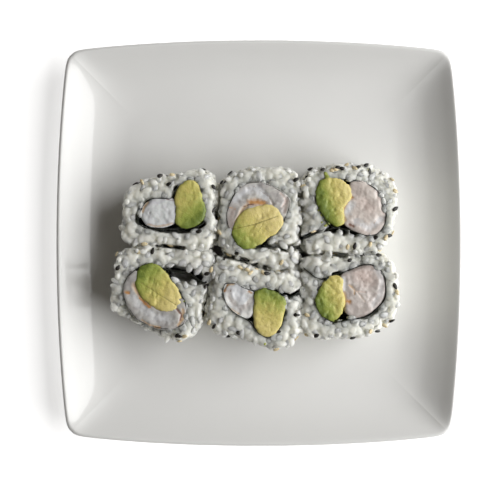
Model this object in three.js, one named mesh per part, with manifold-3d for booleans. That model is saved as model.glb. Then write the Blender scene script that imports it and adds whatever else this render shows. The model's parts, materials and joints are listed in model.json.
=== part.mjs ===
/**
 * Six pieces of uramaki on a square porcelain plate.
 *
 * A roll of rice, nori, prawn and avocado is cut into pieces that stand pressed together in two
 * rows of three, each with a cut face up, so everything inside the rice runs up through it.
 *
 * Frame: millimetres, +Z up, +Y to the back of the plate, origin under the middle of the plate
 * on the table.
 */
import * as THREE from "three";
import { mergeVertices } from "three/addons/utils/BufferGeometryUtils.js";
import Module from "manifold-3d";

const wasm = await Module();
wasm.setup();

// ---------------------------------------------------------------- driving sizes

const GAP = 0.3; // clearance between pieces that touch
const CLEAR = 5; // how far a cutting shape reaches beyond what it cuts
const NORI = 0.9; // thickness of the seaweed, damp and a little swollen
const GRAIN = { length: 5.5, width: 2.9 }; // a cooked short rice grain
const SEED = { length: 3.2, width: 2.0, thick: 1.5 }; // a sesame seed
const SEEDS_PER_PIECE = 7;

const PLATE = {
  half: 102.5, // from the middle to the middle of a side
  bow: 5.5, // how far a side bulges beyond the line between its corners
  floor: 6, // height of the eating surface above the table
  rim: 17, // height of the rim
  flat: 73.5, // half width of the flat of that surface
  points: 48, // round the outline
};

const ROLL = {
  height: 27,
  barrel: 0.5, // how far the wall draws in at the two cut faces
  edge: 0.3, // extra draw-in of the upper edge, where grains have fallen away
  fillet: 5, // radius that softens each corner of the wall
  columns: 37, // of rice bumps round the wall
  wrapPoints: 32, // round the seaweed
  fillingPoints: 20, // round the avocado and the prawn
};

const RICE = {
  row: 1.15 * GRAIN.width, // height of one row of bumps
  relief: 0.42 * GRAIN.width, // deepest hollow between two bumps
  lining: 1, // how far the ring runs in under the wrap before the wrap's hollow is cut
  shoulder: 0.95, // share of the height at which the wall turns over into the cut face
  // share of the way across the cut face and height of each ring of bumps on it
  across: [[0, -0.6], [0.36, 0.5], [0.72, 0.4], [1, -0.2]],
};

/** How far the cut edges stand above the middle height of the cut face. */
const LIFT = { nori: -0.5, ripple: 0.4, tail: -0.9, avocado: 0.7, prawn: -0.1, openPrawn: 0.2 };

const CHAMFER = { avocado: 1.1, prawn: 1.2, openPrawn: 1.0 };

/**
 * The six pieces, as they stand pressed together, with the sizes of their cut faces. The wall
 * lists the corners that the neighbours and the rolling mat press into the rice. A reach list
 * says how far an outline lies from its centre at equal steps of angle, starting from +X: the
 * seaweed's wrap, and the fillings in it. The tail is the seaweed's end that runs out through
 * the rice. An opened prawn fills what the avocado leaves of the wrap to the left of a line. A
 * shoulder is a place where the rice has slumped: x, y, drop and radius.
 */
const PIECES = {
  back_left: {
    rise: -0.5,
    wall: [
      [-67.5, 0], [-67.5, 10], [-66, 17], [-67.5, 22], [-63, 27], [-57, 30.5], [-50, 32.5],
      [-30.5, 36], [-25, 35.5], [-22, 32], [-21, 8.5], [-22.5, -3.5],
    ],
    wrap: {
      centre: [-43, 16],
      reach: [16.5, 16, 18.5, 14.5, 6, 6, 8, 12.5, 15, 17.5, 13, 10, 9, 9.5, 12.5, 17],
    },
    avocado: {
      centre: [-33, 20],
      reach: [4.5, 4.5, 6.5, 10, 9, 8, 7.5, 7.5, 13, 11.5, 9.5, 6.5],
    },
    prawn: { centre: [-50, 15.5], reach: [10.5, 9.5, 6, 5.5, 5, 6, 7, 7.5, 7.5, 7, 8, 9.5] },
    tail: [[-27.5, 7], [-24, 6], [-20.5, 3.5]],
  },
  back_middle: {
    rise: 0,
    wall: [
      [-20, 2.5], [-19, 30], [-15, 34], [-4, 37], [10, 37], [15.5, 36], [19, 34],
      [19.5, -6.5], [19, -9.5], [16, -12], [7, -13], [-3, -10.5], [-17.5, -4.5],
      [-19.5, -2],
    ],
    wrap: {
      centre: [-1.5, 14],
      reach: [14.5, 17.5, 16, 15.5, 15.5, 15.5, 14.5, 14, 14.5, 15, 16, 18, 16, 13, 13, 13.5],
    },
    avocado: { centre: [0.5, 9], reach: [10, 10, 10, 8, 8.5, 10, 12, 14.5, 13, 8.5, 6.5, 7.5] },
    prawn: { leftOf: [[-16.5, 6], [14, 12]] },
    tail: [[1, -1.5], [6, -2], [12, -4], [20, -1]],
  },
  back_right: {
    rise: 0.8,
    shoulders: [[61, 34.5, 3.5, 9]],
    wall: [
      [21, 29.5], [21, -1.5], [22, -4.5], [46.5, -6], [56, -5], [59.5, -3.5], [64.5, 3],
      [68, 21.5], [66.5, 28], [60, 36], [54.5, 38], [42, 38.5], [30, 37.5], [25, 36],
      [22, 33.5],
    ],
    wrap: {
      centre: [43.5, 17],
      reach: [17.5, 16.5, 15, 14, 13.5, 15, 19, 17.5, 15, 13, 13, 11, 10.5, 13.5, 18.5, 19],
    },
    avocado: {
      centre: [33.5, 19],
      reach: [7.5, 12, 12, 12.5, 9.5, 6.5, 5, 4.5, 5, 7.5, 12, 6.5],
    },
    prawn: {
      centre: [53, 17],
      reach: [7.5, 7.5, 9, 10.5, 14.5, 11, 12, 13.5, 12.5, 13, 11.5, 9],
    },
    tail: [[37.5, 7], [29.5, 6], [21, 2.5]],
  },
  front_left: {
    rise: -0.8,
    shoulders: [[-64, -38.5, 6, 8], [-53, -45, 7, 8]],
    wall: [
      [-71.5, -8], [-66.5, -3.5], [-60, -2], [-23, -5], [-22, -8], [-27, -28],
      [-28.5, -41], [-31.5, -45.5], [-36, -48], [-48, -47], [-72.5, -33], [-74, -29],
      [-70.5, -13],
    ],
    wrap: {
      centre: [-50, -27],
      reach: [13, 11, 11, 13, 16.5, 17.5, 17.5, 17.5, 16, 14.5, 14, 13.5, 14.5, 16, 18, 15.5],
    },
    avocado: { centre: [-49.5, -23], reach: [9, 7, 8, 11, 13.5, 12, 9, 7.5, 7, 8.5, 11, 12] },
    prawn: { leftOf: [[-34.5, -30.5], [-62.5, -13.5]] },
    tail: [[-48, -12], [-41, -14], [-35, -14.5], [-26.5, -20.5]],
  },
  front_middle: {
    rise: 0.3,
    wall: [
      [-20.5, -7.5], [-17.5, -6.5], [7, -14.5], [16.5, -13.5], [19.5, -12], [20, -43.5],
      [18, -49], [7.5, -52], [-19.5, -44.5], [-23.5, -41.5], [-26, -38], [-26.5, -34],
    ],
    wrap: {
      centre: [-2.5, -33.5],
      reach: [15, 16, 14, 12, 10, 12.5, 20, 16, 10.5, 6.5, 5.5, 5.5, 8, 13.5, 15, 14.5],
    },
    avocado: {
      centre: [4, -31.5],
      reach: [7.5, 8.5, 7.5, 8, 9.5, 6.5, 6, 7, 11, 13.5, 10, 7.5],
    },
    prawn: { centre: [-11, -29], reach: [8.5, 8.5, 7.5, 8.5, 9.5, 7, 5.5, 5, 4.5, 5.5, 8, 9] },
    tail: [[11, -25], [15, -26.5], [20, -23.5]],
  },
  front_right: {
    rise: 0.5,
    shoulders: [[64, -40, 4, 9]],
    wall: [
      [21, -7.5], [23.5, -6], [46.5, -7.5], [60, -5.5], [63.5, -7.5], [66.5, -11],
      [68.5, -29.5], [67, -35.5], [64.5, -39.5], [56.5, -45], [50.5, -46.5], [30, -47],
      [23.5, -46], [21, -43.5],
    ],
    wrap: {
      centre: [47, -27],
      reach: [14, 15.5, 18, 18, 15, 14, 16, 18, 20, 19, 16.5, 11.5, 10, 10, 10.5, 11.5],
    },
    avocado: { centre: [34.5, -25], reach: [5.5, 5, 9, 7.5, 6, 5, 5.5, 8.5, 10, 12, 9.5, 7] },
    prawn: {
      centre: [50, -23],
      reach: [10.5, 11.5, 12.5, 11, 10, 12, 10, 9.5, 13.5, 12, 10, 10],
    },
    tail: [[35.5, -16], [29, -17.5], [21, -12]],
  },
};

const COLOURS = {
  porcelain: { color: 0xdcdcd8, roughness: 0.12, metalness: 0 },
  rice: { color: 0xe4e4da, roughness: 0.45, metalness: 0 },
  nori: { color: 0x12160f, roughness: 0.55, metalness: 0 },
  prawn: { color: 0xe2d3c9, roughness: 0.4, metalness: 0 },
  avocado: { color: 0xb9b865, roughness: 0.5, metalness: 0 },
};

// ---------------------------------------------------------------- numbers and outlines

/** A repeatable number from 0 to 1 for a column, a row and a piece. */
function chance(column, row, piece) {
  const wave = Math.sin(column * 127.1 + row * 311.7 + piece * 74.7) * 43758.5453;
  return wave - Math.floor(wave);
}

/** A smooth closed curve through a list of reaches, at an angle in radians. */
function reachAt(reach, angle) {
  const count = reach.length;
  const place = (((angle / (2 * Math.PI)) % 1) + 1) % 1 * count;
  const step = Math.floor(place);
  const t = place - step;
  const [a, b, c, d] = [-1, 0, 1, 2].map((k) => reach[(step + k + count) % count]);
  return 0.5 * (2 * b + (c - a) * t + (2 * a - 5 * b + 4 * c - d) * t * t
    + (3 * b - 3 * c + d - a) * t * t * t);
}

/** Points of a plate drawing as vectors. */
function vectors(points) {
  return points.map(([x, y]) => new THREE.Vector2(x, y));
}

/** The point of a reach list's outline at an angle. */
function reachPoint({ centre: [x, y], reach }, angle) {
  const radius = reachAt(reach, angle);
  return new THREE.Vector2(x + radius * Math.cos(angle), y + radius * Math.sin(angle));
}

/** A reach list's outline as anticlockwise points, grown outwards by a margin. */
function reachOutline(form, count, margin = 0) {
  const step = (2 * Math.PI) / count;
  return Array.from({ length: count }, (_, i) => {
    const before = reachPoint(form, (i - 0.5) * step);
    const along = reachPoint(form, (i + 0.5) * step).sub(before).normalize();
    const outwards = new THREE.Vector2(along.y, -along.x);
    return reachPoint(form, i * step).addScaledVector(outwards, margin);
  });
}

/** A polygon with rounded corners, anticlockwise, as points a constant way apart. */
function filletedOutline(corners, radius, count) {
  const path = new THREE.Path();
  const turned = THREE.ShapeUtils.isClockWise(corners) ? [...corners].reverse() : corners;
  turned.forEach((corner, i) => {
    const before = turned[(i + turned.length - 1) % turned.length];
    const after = turned[(i + 1) % turned.length];
    const enter = towards(corner, before, radius);
    const leave = towards(corner, after, radius);
    if (i === 0) path.moveTo(enter.x, enter.y);
    else path.lineTo(enter.x, enter.y);
    path.quadraticCurveTo(corner.x, corner.y, leave.x, leave.y);
  });
  path.closePath();
  return path.getSpacedPoints(count).slice(0, count);
}

/** The point that far from one corner towards the next, at most almost halfway. */
function towards(from, to, distance) {
  const share = Math.min(distance / from.distanceTo(to), 0.48);
  return from.clone().lerp(to, share);
}

// ---------------------------------------------------------------- meshes and solids

/** Two triangles between each pair of neighbouring points of two rings. */
function stitch(faces, lower, upper, count) {
  for (let i = 0; i < count; i++) {
    const j = (i + 1) % count;
    faces.push(lower + i, lower + j, upper + j, lower + i, upper + j, upper + i);
  }
}

/** A closed ring-shaped body whose section runs through the rings and back to the first. */
function ringBody(rings) {
  const count = rings[0].length;
  const faces = [];
  rings.forEach((_, k) => stitch(faces, k * count, ((k + 1) % rings.length) * count, count));
  return bodyFrom(rings.flat(), faces);
}

/** A closed body through rings from its lowest cap to its highest, each cap a fan. */
function cappedBody(rings, bottom, top) {
  const count = rings[0].length;
  const faces = [];
  rings.slice(1).forEach((_, k) => stitch(faces, k * count, (k + 1) * count, count));
  const low = rings.length * count;
  const last = (rings.length - 1) * count;
  for (let i = 0; i < count; i++) {
    const j = (i + 1) % count;
    faces.push(low, j, i, low + 1, last + i, last + j);
  }
  return bodyFrom([...rings.flat(), bottom, top], faces);
}

/** A mesh from its points and the numbers of its triangles' corners. */
function bodyFrom(points, faces) {
  return new THREE.BufferGeometry().setFromPoints(points).setIndex(faces);
}

/** A three.js geometry as a solid that can be joined and cut. */
function solidOf(geometry) {
  const bare = geometry.clone();
  bare.deleteAttribute("normal");
  bare.deleteAttribute("uv");
  const merged = mergeVertices(bare, 1e-3);
  return new wasm.Manifold(new wasm.Mesh({
    numProp: 3,
    vertProperties: new Float32Array(merged.attributes.position.array),
    triVerts: new Uint32Array(merged.index.array),
  }));
}

/** The largest body of a solid as a three.js geometry; loose scraps are dropped. */
function geometryOf(solid) {
  const [largest] = solid.decompose().sort((a, b) => b.volume() - a.volume());
  const mesh = largest.simplify(0.04).getMesh();
  const positions = new Float32Array(mesh.numVert * 3);
  for (let i = 0; i < mesh.numVert; i++) {
    const start = i * mesh.numProp;
    positions.set(mesh.vertProperties.subarray(start, start + 3), i * 3);
  }
  return new THREE.BufferGeometry()
    .setAttribute("position", new THREE.BufferAttribute(positions, 3))
    .setIndex(new THREE.BufferAttribute(new Uint32Array(mesh.triVerts), 1));
}

/** An outline drawn up from the plate's floor to a height, with its rims chamfered. */
function column(outline, top, chamfer = 0) {
  const geometry = new THREE.ExtrudeGeometry(new THREE.Shape(outline), {
    depth: top - PLATE.floor - 2 * chamfer,
    bevelEnabled: chamfer > 0,
    bevelThickness: chamfer,
    bevelSize: chamfer,
    bevelOffset: -chamfer,
    bevelSegments: 1,
  });
  return solidOf(geometry.translate(0, 0, PLATE.floor + chamfer));
}

/** A strip that stands on the plate's floor along a curve, as thick as asked. */
function strip(curve, thickness, top) {
  const steps = 7;
  const [left, right] = [[], []];
  for (let i = 0; i <= steps; i++) {
    const middle = curve.getPoint(i / steps);
    const along = curve.getTangent(i / steps);
    const side = new THREE.Vector2(-along.y, along.x).multiplyScalar(thickness / 2);
    left.push(middle.clone().add(side));
    right.unshift(middle.clone().sub(side));
  }
  return column([...right, ...left], top);
}

// ---------------------------------------------------------------- the plate

/** A point of the plate's outline: a square with bowed sides and rounded corners. */
function plateEdge(half, sharpness, index) {
  const perSide = PLATE.points / 4;
  const quarter = Math.floor(index / perSide);
  const s = ((index % perSide) / perSide) * 2 - 1; // -1 and 1 are the middles of two sides
  const angle = (Math.PI / 4) * (1 + Math.sign(s) * Math.abs(s) ** 1.8) + (Math.PI / 2) * quarter;
  const [c, d] = [Math.abs(Math.cos(angle)), Math.abs(Math.sin(angle))];
  const slope = Math.min(c, d) / Math.max(c, d); // 0 in the middle of a side, 1 at a corner
  const side = half - PLATE.bow * (half / PLATE.half) * slope ** 2;
  const radius = side / (c ** sharpness + d ** sharpness) ** (1 / sharpness);
  return new THREE.Vector2(radius * Math.cos(angle), radius * Math.sin(angle));
}

/** The thrown shape: foot ring, flat floor and a rim that turns up all round. */
function plateGeometry() {
  const { floor, flat, half, rim } = PLATE;
  // half width, height and corner sharpness, from the recess under the foot to the floor's edge
  const section = [
    [57, 1.6, 12], [60, 0, 12], [64, 0, 12], [66.5, 2.2, 12], [82, 3.4, 16], [91, 5.8, 22],
    [97.6, 9.4, 28], [101.8, 13.6, 34], [half, 15.6, 34], [101.4, rim, 34], [99.8, 16.4, 30],
    [95.6, 13.5, 24], [91, 10.8, 20], [86, 8.5, 17], [80, 6.9, 14], [flat, floor, 12],
  ];
  const rings = section.map(([reach, z, sharpness]) =>
    Array.from({ length: PLATE.points }, (_, i) => {
      const p = plateEdge(reach, sharpness, i);
      return new THREE.Vector3(p.x, p.y, z);
    }));
  return cappedBody(rings, new THREE.Vector3(0, 0, 1.6), new THREE.Vector3(0, 0, floor));
}

// ---------------------------------------------------------------- one piece of the roll

/** The piece's outlines and sizes. */
function layOut(piece, index) {
  const top = PLATE.floor + ROLL.height + piece.rise;
  const wrap = (margin) => reachOutline(piece.wrap, ROLL.wrapPoints, margin);
  const middle = new THREE.Vector2(...piece.wrap.centre);
  const tail = new THREE.SplineCurve(vectors(piece.tail));
  return { index, piece, top, wrap, middle, corners: vectors(piece.wall), tail };
}

/** How far the rice has slumped at a point of the cut face. */
function slump(roll, { x, y }) {
  const drops = (roll.piece.shoulders ?? []).map(([sx, sy, drop, radius]) =>
    drop * Math.exp(-(((x - sx) ** 2 + (y - sy) ** 2) / radius ** 2)));
  return Math.max(0, ...drops);
}

/** How far the wall draws in at a share of the height: none halfway up, most at the ends. */
function drawIn(share) {
  const fromMiddle = Math.abs(2 * share - 1);
  return ROLL.barrel * fromMiddle ** 2.4 + (share > 0.9 ? ROLL.edge : 0);
}

/** The wrap's outline, grown by a margin, in the direction of a point of the wall. */
function wrapTowards(roll, point, margin) {
  const away = point.clone().sub(roll.middle);
  return away.setLength(reachAt(roll.piece.wrap.reach, away.angle()) + margin).add(roll.middle);
}

/** The rice round the wrap, with bumps as large as its grains, before the tail cuts it. */
function riceBody(roll) {
  const { columns } = ROLL;
  const wall = filletedOutline(roll.corners, ROLL.fillet, columns * 2);
  const rows = Math.round((roll.top - PLATE.floor) / RICE.row);
  const wallAt = (i, row) => wall[(2 * i + (row % 2)) % wall.length];
  const edgeAt = (i, row, share) => {
    const bump = RICE.relief * chance(i, row, roll.index);
    return towards(wallAt(i, row), roll.middle, drawIn(share) + bump);
  };
  const ring = (point, z) => Array.from({ length: columns }, (_, i) => {
    const p = point(i);
    return new THREE.Vector3(p.x, p.y, z(i, p));
  });
  const innerAt = (i, row) => wrapTowards(roll, wallAt(i, row), -RICE.lining);
  const rings = [ring((i) => innerAt(i, 0), () => PLATE.floor)];
  for (let row = 0; row < rows; row++) {
    const share = row / rows;
    const level = (_, p) => PLATE.floor + share * (roll.top - slump(roll, p) - PLATE.floor);
    rings.push(ring((i) => edgeAt(i, row, share), level));
  }
  RICE.across.forEach(([share, lift], k) => {
    const row = rows + k;
    const across = (i) => edgeAt(i, row, RICE.shoulder).lerp(innerAt(i, row), share);
    const ragged = (i, p) =>
      roll.top + lift - RICE.relief * chance(i, row + 7, roll.index) - slump(roll, p);
    rings.push(ring(across, ragged));
  });
  const hollow = column(roll.wrap(NORI / 2 + GAP), roll.top + CLEAR);
  return solidOf(ringBody(rings)).subtract(hollow);
}

/** Sesame seeds set half into the wall and the upper edge, spread by the golden ratio. */
function seedsOn(roll) {
  const wall = filletedOutline(roll.corners, ROLL.fillet, 240);
  return Array.from({ length: SEEDS_PER_PIECE }, (_, k) => {
    const around = (k * 0.618034 + roll.index * 0.37) % 1;
    const share = 0.5 + 0.4 * ((k * 0.754878 + roll.index * 0.21) % 1);
    const p = wall[Math.floor(around * wall.length)];
    const seat = towards(p, roll.middle, drawIn(share) + 0.2 * GRAIN.width);
    const height = roll.top - slump(roll, p) - PLATE.floor;
    const seed = new THREE.OctahedronGeometry(0.5)
      .scale(SEED.thick, SEED.length, SEED.width)
      .rotateX(Math.PI * chance(k, 3, roll.index))
      .rotateZ(p.clone().sub(roll.middle).angle())
      .translate(seat.x, seat.y, PLATE.floor + share * height);
    return solidOf(seed);
  });
}

/** Rice with its seeds, parted where the end of the seaweed runs out through it. */
function riceGeometry(roll) {
  const points = roll.tail.points;
  const beyond = points.at(-1).clone().sub(points.at(-2)).setLength(CLEAR).add(points.at(-1));
  const slit = new THREE.SplineCurve([...points, beyond]);
  const opening = strip(slit, NORI + 2 * GAP, roll.top + GRAIN.length);
  return geometryOf(wasm.Manifold.union([riceBody(roll), ...seedsOn(roll)]).subtract(opening));
}

/** The seaweed: a closed wrap round the filling, and its end, which overlaps outwards. */
function noriGeometry(roll) {
  const [inner, outer] = [-NORI / 2, NORI / 2].map((margin) => roll.wrap(margin));
  const wavy = (i) =>
    roll.top + LIFT.nori + LIFT.ripple * Math.sin((i / inner.length) * 6 * Math.PI + roll.index);
  const at = (outline, z) => outline.map((p, i) =>
    new THREE.Vector3(p.x, p.y, z(i) - slump(roll, p)));
  const foot = (outline) => outline.map((p) => new THREE.Vector3(p.x, p.y, PLATE.floor));
  const wrap = solidOf(ringBody([foot(inner), foot(outer), at(outer, wavy), at(inner, wavy)]));
  const inside = column(filletedOutline(roll.corners, ROLL.fillet, 80), roll.top);
  const end = strip(roll.tail, NORI, roll.top + LIFT.tail).intersect(inside);
  return geometryOf(wrap.add(end));
}

/** What lies inside the wrap, up to a height, with an upper and lower chamfer. */
function room(roll, top, chamfer = 0) {
  return column(roll.wrap(-NORI / 2 - GAP), top, chamfer);
}

/** The avocado: a wedge that runs through the piece and stands a little proud. */
function avocadoSolid(roll) {
  const outline = reachOutline(roll.piece.avocado, ROLL.fillingPoints);
  const wedge = column(outline, roll.top + LIFT.avocado, CHAMFER.avocado);
  return wedge.intersect(room(roll, roll.top + CLEAR));
}

/** The prawn: what the wrap holds beside the avocado. */
function prawnSolid(roll) {
  const { prawn, avocado } = roll.piece;
  const filled = room(roll, roll.top + LIFT.openPrawn, CHAMFER.openPrawn);
  const kept = reachOutline(avocado, ROLL.fillingPoints, GAP + 0.1);
  const beside = column(kept, roll.top + CLEAR);
  if (prawn.reach) {
    const outline = reachOutline(prawn, ROLL.fillingPoints);
    const body = column(outline, roll.top + LIFT.prawn, CHAMFER.prawn);
    return body.intersect(filled).subtract(beside);
  }
  const [a, b] = vectors(prawn.leftOf);
  const along = b.clone().sub(a);
  const away = along.clone().rotateAround(new THREE.Vector2(), -Math.PI / 2).setLength(30);
  const reach = along.setLength(12);
  const beyond = [a.clone().sub(reach), b.clone().add(reach)];
  beyond.push(beyond[1].clone().add(away), beyond[0].clone().add(away));
  return filled.subtract(beside).subtract(column(beyond, roll.top + CLEAR));
}

// ---------------------------------------------------------------- assembly

/** A named mesh with its finish. */
function part(name, geometry, finish) {
  const mesh = new THREE.Mesh(geometry, new THREE.MeshStandardMaterial(COLOURS[finish]));
  mesh.name = name;
  return mesh;
}

const uramaki = new THREE.Group();
uramaki.add(part("plate", plateGeometry(), "porcelain"));
Object.keys(PIECES).forEach((name, index) => {
  const roll = layOut(PIECES[name], index);
  uramaki.add(
    part(`rice_${name}`, riceGeometry(roll), "rice"),
    part(`nori_${name}`, noriGeometry(roll), "nori"),
    part(`avocado_${name}`, geometryOf(avocadoSolid(roll)), "avocado"),
    part(`prawn_${name}`, geometryOf(prawnSolid(roll)), "prawn"),
  );
});

export default uramaki;
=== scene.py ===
"""Looks of six pieces of uramaki, cut side up, on a square porcelain plate.

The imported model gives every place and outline. Each of its nodes is dressed by a finer piece
of the same form: the plate by a smooth glazed shell, each ring of rice by loose grains over a
packed core, and the seaweed, prawn and avocado by soft shapes with the colours of their cut.
"""

from __future__ import annotations

import json
import logging
import math
from dataclasses import dataclass
from enum import Enum

import bmesh
import bpy
import numpy as np
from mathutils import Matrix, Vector, noise
from mathutils.bvhtree import BVHTree

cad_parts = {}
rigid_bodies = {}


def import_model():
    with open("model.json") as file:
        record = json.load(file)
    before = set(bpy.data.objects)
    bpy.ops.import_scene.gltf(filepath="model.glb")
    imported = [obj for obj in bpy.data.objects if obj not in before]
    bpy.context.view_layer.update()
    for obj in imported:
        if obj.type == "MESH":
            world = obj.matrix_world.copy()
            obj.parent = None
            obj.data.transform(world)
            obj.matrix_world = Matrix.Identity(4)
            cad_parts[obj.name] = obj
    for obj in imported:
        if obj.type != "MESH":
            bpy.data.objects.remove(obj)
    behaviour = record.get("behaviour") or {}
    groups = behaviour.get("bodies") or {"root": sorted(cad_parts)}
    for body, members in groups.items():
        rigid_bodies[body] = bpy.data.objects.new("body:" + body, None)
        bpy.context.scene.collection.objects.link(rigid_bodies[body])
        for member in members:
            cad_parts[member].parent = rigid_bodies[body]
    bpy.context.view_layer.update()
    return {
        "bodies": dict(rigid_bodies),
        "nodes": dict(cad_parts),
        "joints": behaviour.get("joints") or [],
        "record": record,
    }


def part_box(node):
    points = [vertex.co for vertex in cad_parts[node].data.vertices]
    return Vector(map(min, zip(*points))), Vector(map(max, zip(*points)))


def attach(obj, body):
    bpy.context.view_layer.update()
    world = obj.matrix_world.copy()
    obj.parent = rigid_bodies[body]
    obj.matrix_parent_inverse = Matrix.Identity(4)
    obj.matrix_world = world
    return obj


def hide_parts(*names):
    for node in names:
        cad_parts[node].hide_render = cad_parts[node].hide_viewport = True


LOG = logging.getLogger("uramaki")
MM = 0.001
BODY = "root"
UNMARKED = 9.0  # the attribute "gap" where no streak is near
NOISE_SEED = 1  # without one, noise vectors change with the time of day

Place = tuple[float, float]
Range = tuple[float, float]
Triple = tuple[float, float, float]
Socket = bpy.types.NodeSocket


class Spot(Enum):
    """The six places on the plate, seen from the front."""

    BACK_LEFT = "back_left"
    BACK_MIDDLE = "back_middle"
    BACK_RIGHT = "back_right"
    FRONT_LEFT = "front_left"
    FRONT_MIDDLE = "front_middle"
    FRONT_RIGHT = "front_right"


class Sesame(Enum):
    """The two kinds of sesame that the rice is rolled in."""

    BLACK = "black"
    TOASTED = "toasted"


class StainAndPaintedLight(Enum):
    """Colours that show in streaks on a cut face: stains of the prawn's skin and the avocado's
    fibres, and two painted ones, a shade in folds and on edges turned from the light and a
    highlight on the whitest flesh.
    """

    PINK = "#D0BDB4"  # prawn skin, seen through thin flesh
    PEACH = "#CBAC86"  # the same skin, bare and pale
    ORANGE = "#C08A4E"  # where its pigment is thick
    RUST = "#7A4A32"  # skin folded into a crease
    SHADE = "#A4968F"  # glassy flesh in a fold, darkened as painted shade where a fold or an edge turns from the light
    MILK = "#DADCDF"  # flesh that has boiled white, lightened as a painted highlight where a lobe or a rim faces the light
    SPECK = "#54453C"  # a trace of the gut
    FIBRE = "#847A3C"  # a fibre through avocado


# ------------------------------------------------------------------ small helpers


def linear(hex_colour: str) -> tuple[float, float, float, float]:
    """Turns an sRGB hex colour into linear red, green, blue and alpha.

    Args:
        hex_colour: six hex digits after a hash sign.

    Returns:
        The four linear values.
    """
    shares = [int(hex_colour[i : i + 2], 16) / 255 for i in (1, 3, 5)]
    parts = [s / 12.92 if s <= 0.04045 else ((s + 0.055) / 1.055) ** 2.4 for s in shares]
    return (parts[0], parts[1], parts[2], 1.0)


def heading(degrees: float) -> Vector:
    """The level direction at that many degrees from the right."""
    turn = math.radians(degrees)
    return Vector((math.cos(turn), math.sin(turn), 0))


def add_node(
    tree: bpy.types.NodeTree,
    kind: str,
    sockets: dict[str | int, object] | None = None,
    stops: tuple[tuple[float, str], ...] = (),
    **settings: object,
) -> bpy.types.Node:
    """Adds one shader node with its settings and links.

    Args:
        tree: the node tree that takes the node.
        kind: the node's type, without "ShaderNode".
        sockets: value or linked output for each input, by its name or number.
        stops: places and hex colours of a colour ramp.
        settings: the node's own properties.

    Returns:
        The new node.
    """
    node = tree.nodes.new(f"ShaderNode{kind}")
    for name, value in settings.items():
        setattr(node, name, value)
    for name, value in (sockets or {}).items():
        if isinstance(value, Socket):
            tree.links.new(value, node.inputs[name])
        else:
            node.inputs[name].default_value = value
    if stops:
        ramp = node.color_ramp
        while len(ramp.elements) < len(stops):
            ramp.elements.new(0.5)
        for element, (place, colour) in zip(ramp.elements, stops):
            element.position = place
            element.color = linear(colour)
    return node


def object_from(data: bpy.types.ID, name: str) -> bpy.types.Object:
    """Puts a mesh, light or camera into the scene as an object at the origin."""
    piece = bpy.data.objects.new(name, data)
    bpy.context.scene.collection.objects.link(piece)
    return piece


def object_from_bmesh(shape: bmesh.types.BMesh, name: str) -> bpy.types.Object:
    """Turns a bmesh into a smooth-shaded object and frees it."""
    mesh = bpy.data.meshes.new(name)
    shape.to_mesh(mesh)
    shape.free()
    mesh.shade_smooth()
    return object_from(mesh, name)


def reshape(piece: bpy.types.Object, **modifiers: dict[str, object]) -> None:
    """Runs modifiers over a piece's mesh and keeps the result.

    Args:
        piece: the piece.
        modifiers: the settings of each modifier, by its kind, in their order.
    """
    for kind, settings in modifiers.items():
        modifier = piece.modifiers.new(kind, kind.upper())
        for name, value in settings.items():
            setattr(modifier, name, value)
    graph = bpy.context.evaluated_depsgraph_get()
    mesh = bpy.data.meshes.new_from_object(piece.evaluated_get(graph))
    piece.modifiers.clear()
    piece.data = mesh
    mesh.shade_smooth()


def merged_bmesh(node: bpy.types.Object) -> bmesh.types.BMesh:
    """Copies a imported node's loose triangles into one joined bmesh."""
    shape = bmesh.new()
    shape.from_mesh(node.data)
    bmesh.ops.remove_doubles(shape, verts=shape.verts, dist=0.002 * MM)
    return shape


def tree_of(*pieces: bpy.types.Object) -> BVHTree:
    """A search tree over the faces of one or more objects."""
    points: list[Vector] = []
    faces: list[tuple[int, ...]] = []
    for piece in pieces:
        start = len(points)
        points += [v.co for v in piece.data.vertices]
        faces += [tuple(start + i for i in p.vertices) for p in piece.data.polygons]
    return BVHTree.FromPolygons(points, faces)


def read_rows(mesh: bpy.types.Mesh, what: str = "co") -> np.ndarray:
    """The places of a mesh's points, or each one's "normal", as an array of rows."""
    flat = np.empty(len(mesh.vertices) * 3)
    mesh.vertices.foreach_get(what, flat)
    return flat.reshape(-1, 3)


def write_points(mesh: bpy.types.Mesh, points: np.ndarray) -> None:
    """Moves the mesh's points to the rows of an array."""
    mesh.vertices.foreach_set("co", points.ravel())
    mesh.update()


def level_off(mesh: bpy.types.Mesh, level: float, pressed: float = 0.75) -> None:
    """Presses what stands above a level down by a share of what stands out."""
    points = read_rows(mesh)
    points[:, 2] -= np.maximum(points[:, 2] - level, 0) * pressed
    write_points(mesh, points)


def paint(mesh: bpy.types.Mesh, name: str, values: np.ndarray | float) -> None:
    """Stores a number for each point, or the same for all, as an attribute."""
    layer = mesh.attributes.new(name, "FLOAT", "POINT")
    numbers = np.broadcast_to(np.asarray(values, np.float32), len(mesh.vertices))
    layer.data.foreach_set("value", np.ascontiguousarray(numbers))


def waver(points: np.ndarray, feature_mm: float, octaves: int) -> np.ndarray:
    """Soft noise at each point, about from -1 to 1.

    Args:
        points: the points, in metres.
        feature_mm: how wide its largest waves are.
        octaves: how many finer waves lie over one another.

    Returns:
        A number for each point.
    """
    size = feature_mm * MM
    return np.array([noise.fractal(Vector(p) / size, 0.8, 2.0, octaves) for p in points])


def gap_to(points: np.ndarray, path: tuple[Place, ...]) -> np.ndarray:
    """How far points lie from a line or a single place, seen from above.

    Args:
        points: the points, in metres.
        path: the places that the line runs through, in mm.

    Returns:
        The distances in metres.
    """
    stops = np.array(path) * MM
    nearest = np.linalg.norm(points[:, :2] - stops[0], axis=1)
    for start, end in zip(stops, stops[1:]):
        along = end - start
        share = np.clip((points[:, :2] - start) @ along / (along @ along), 0, 1)
        foot = start + share[:, None] * along
        nearest = np.minimum(nearest, np.linalg.norm(points[:, :2] - foot, axis=1))
    return nearest


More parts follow.
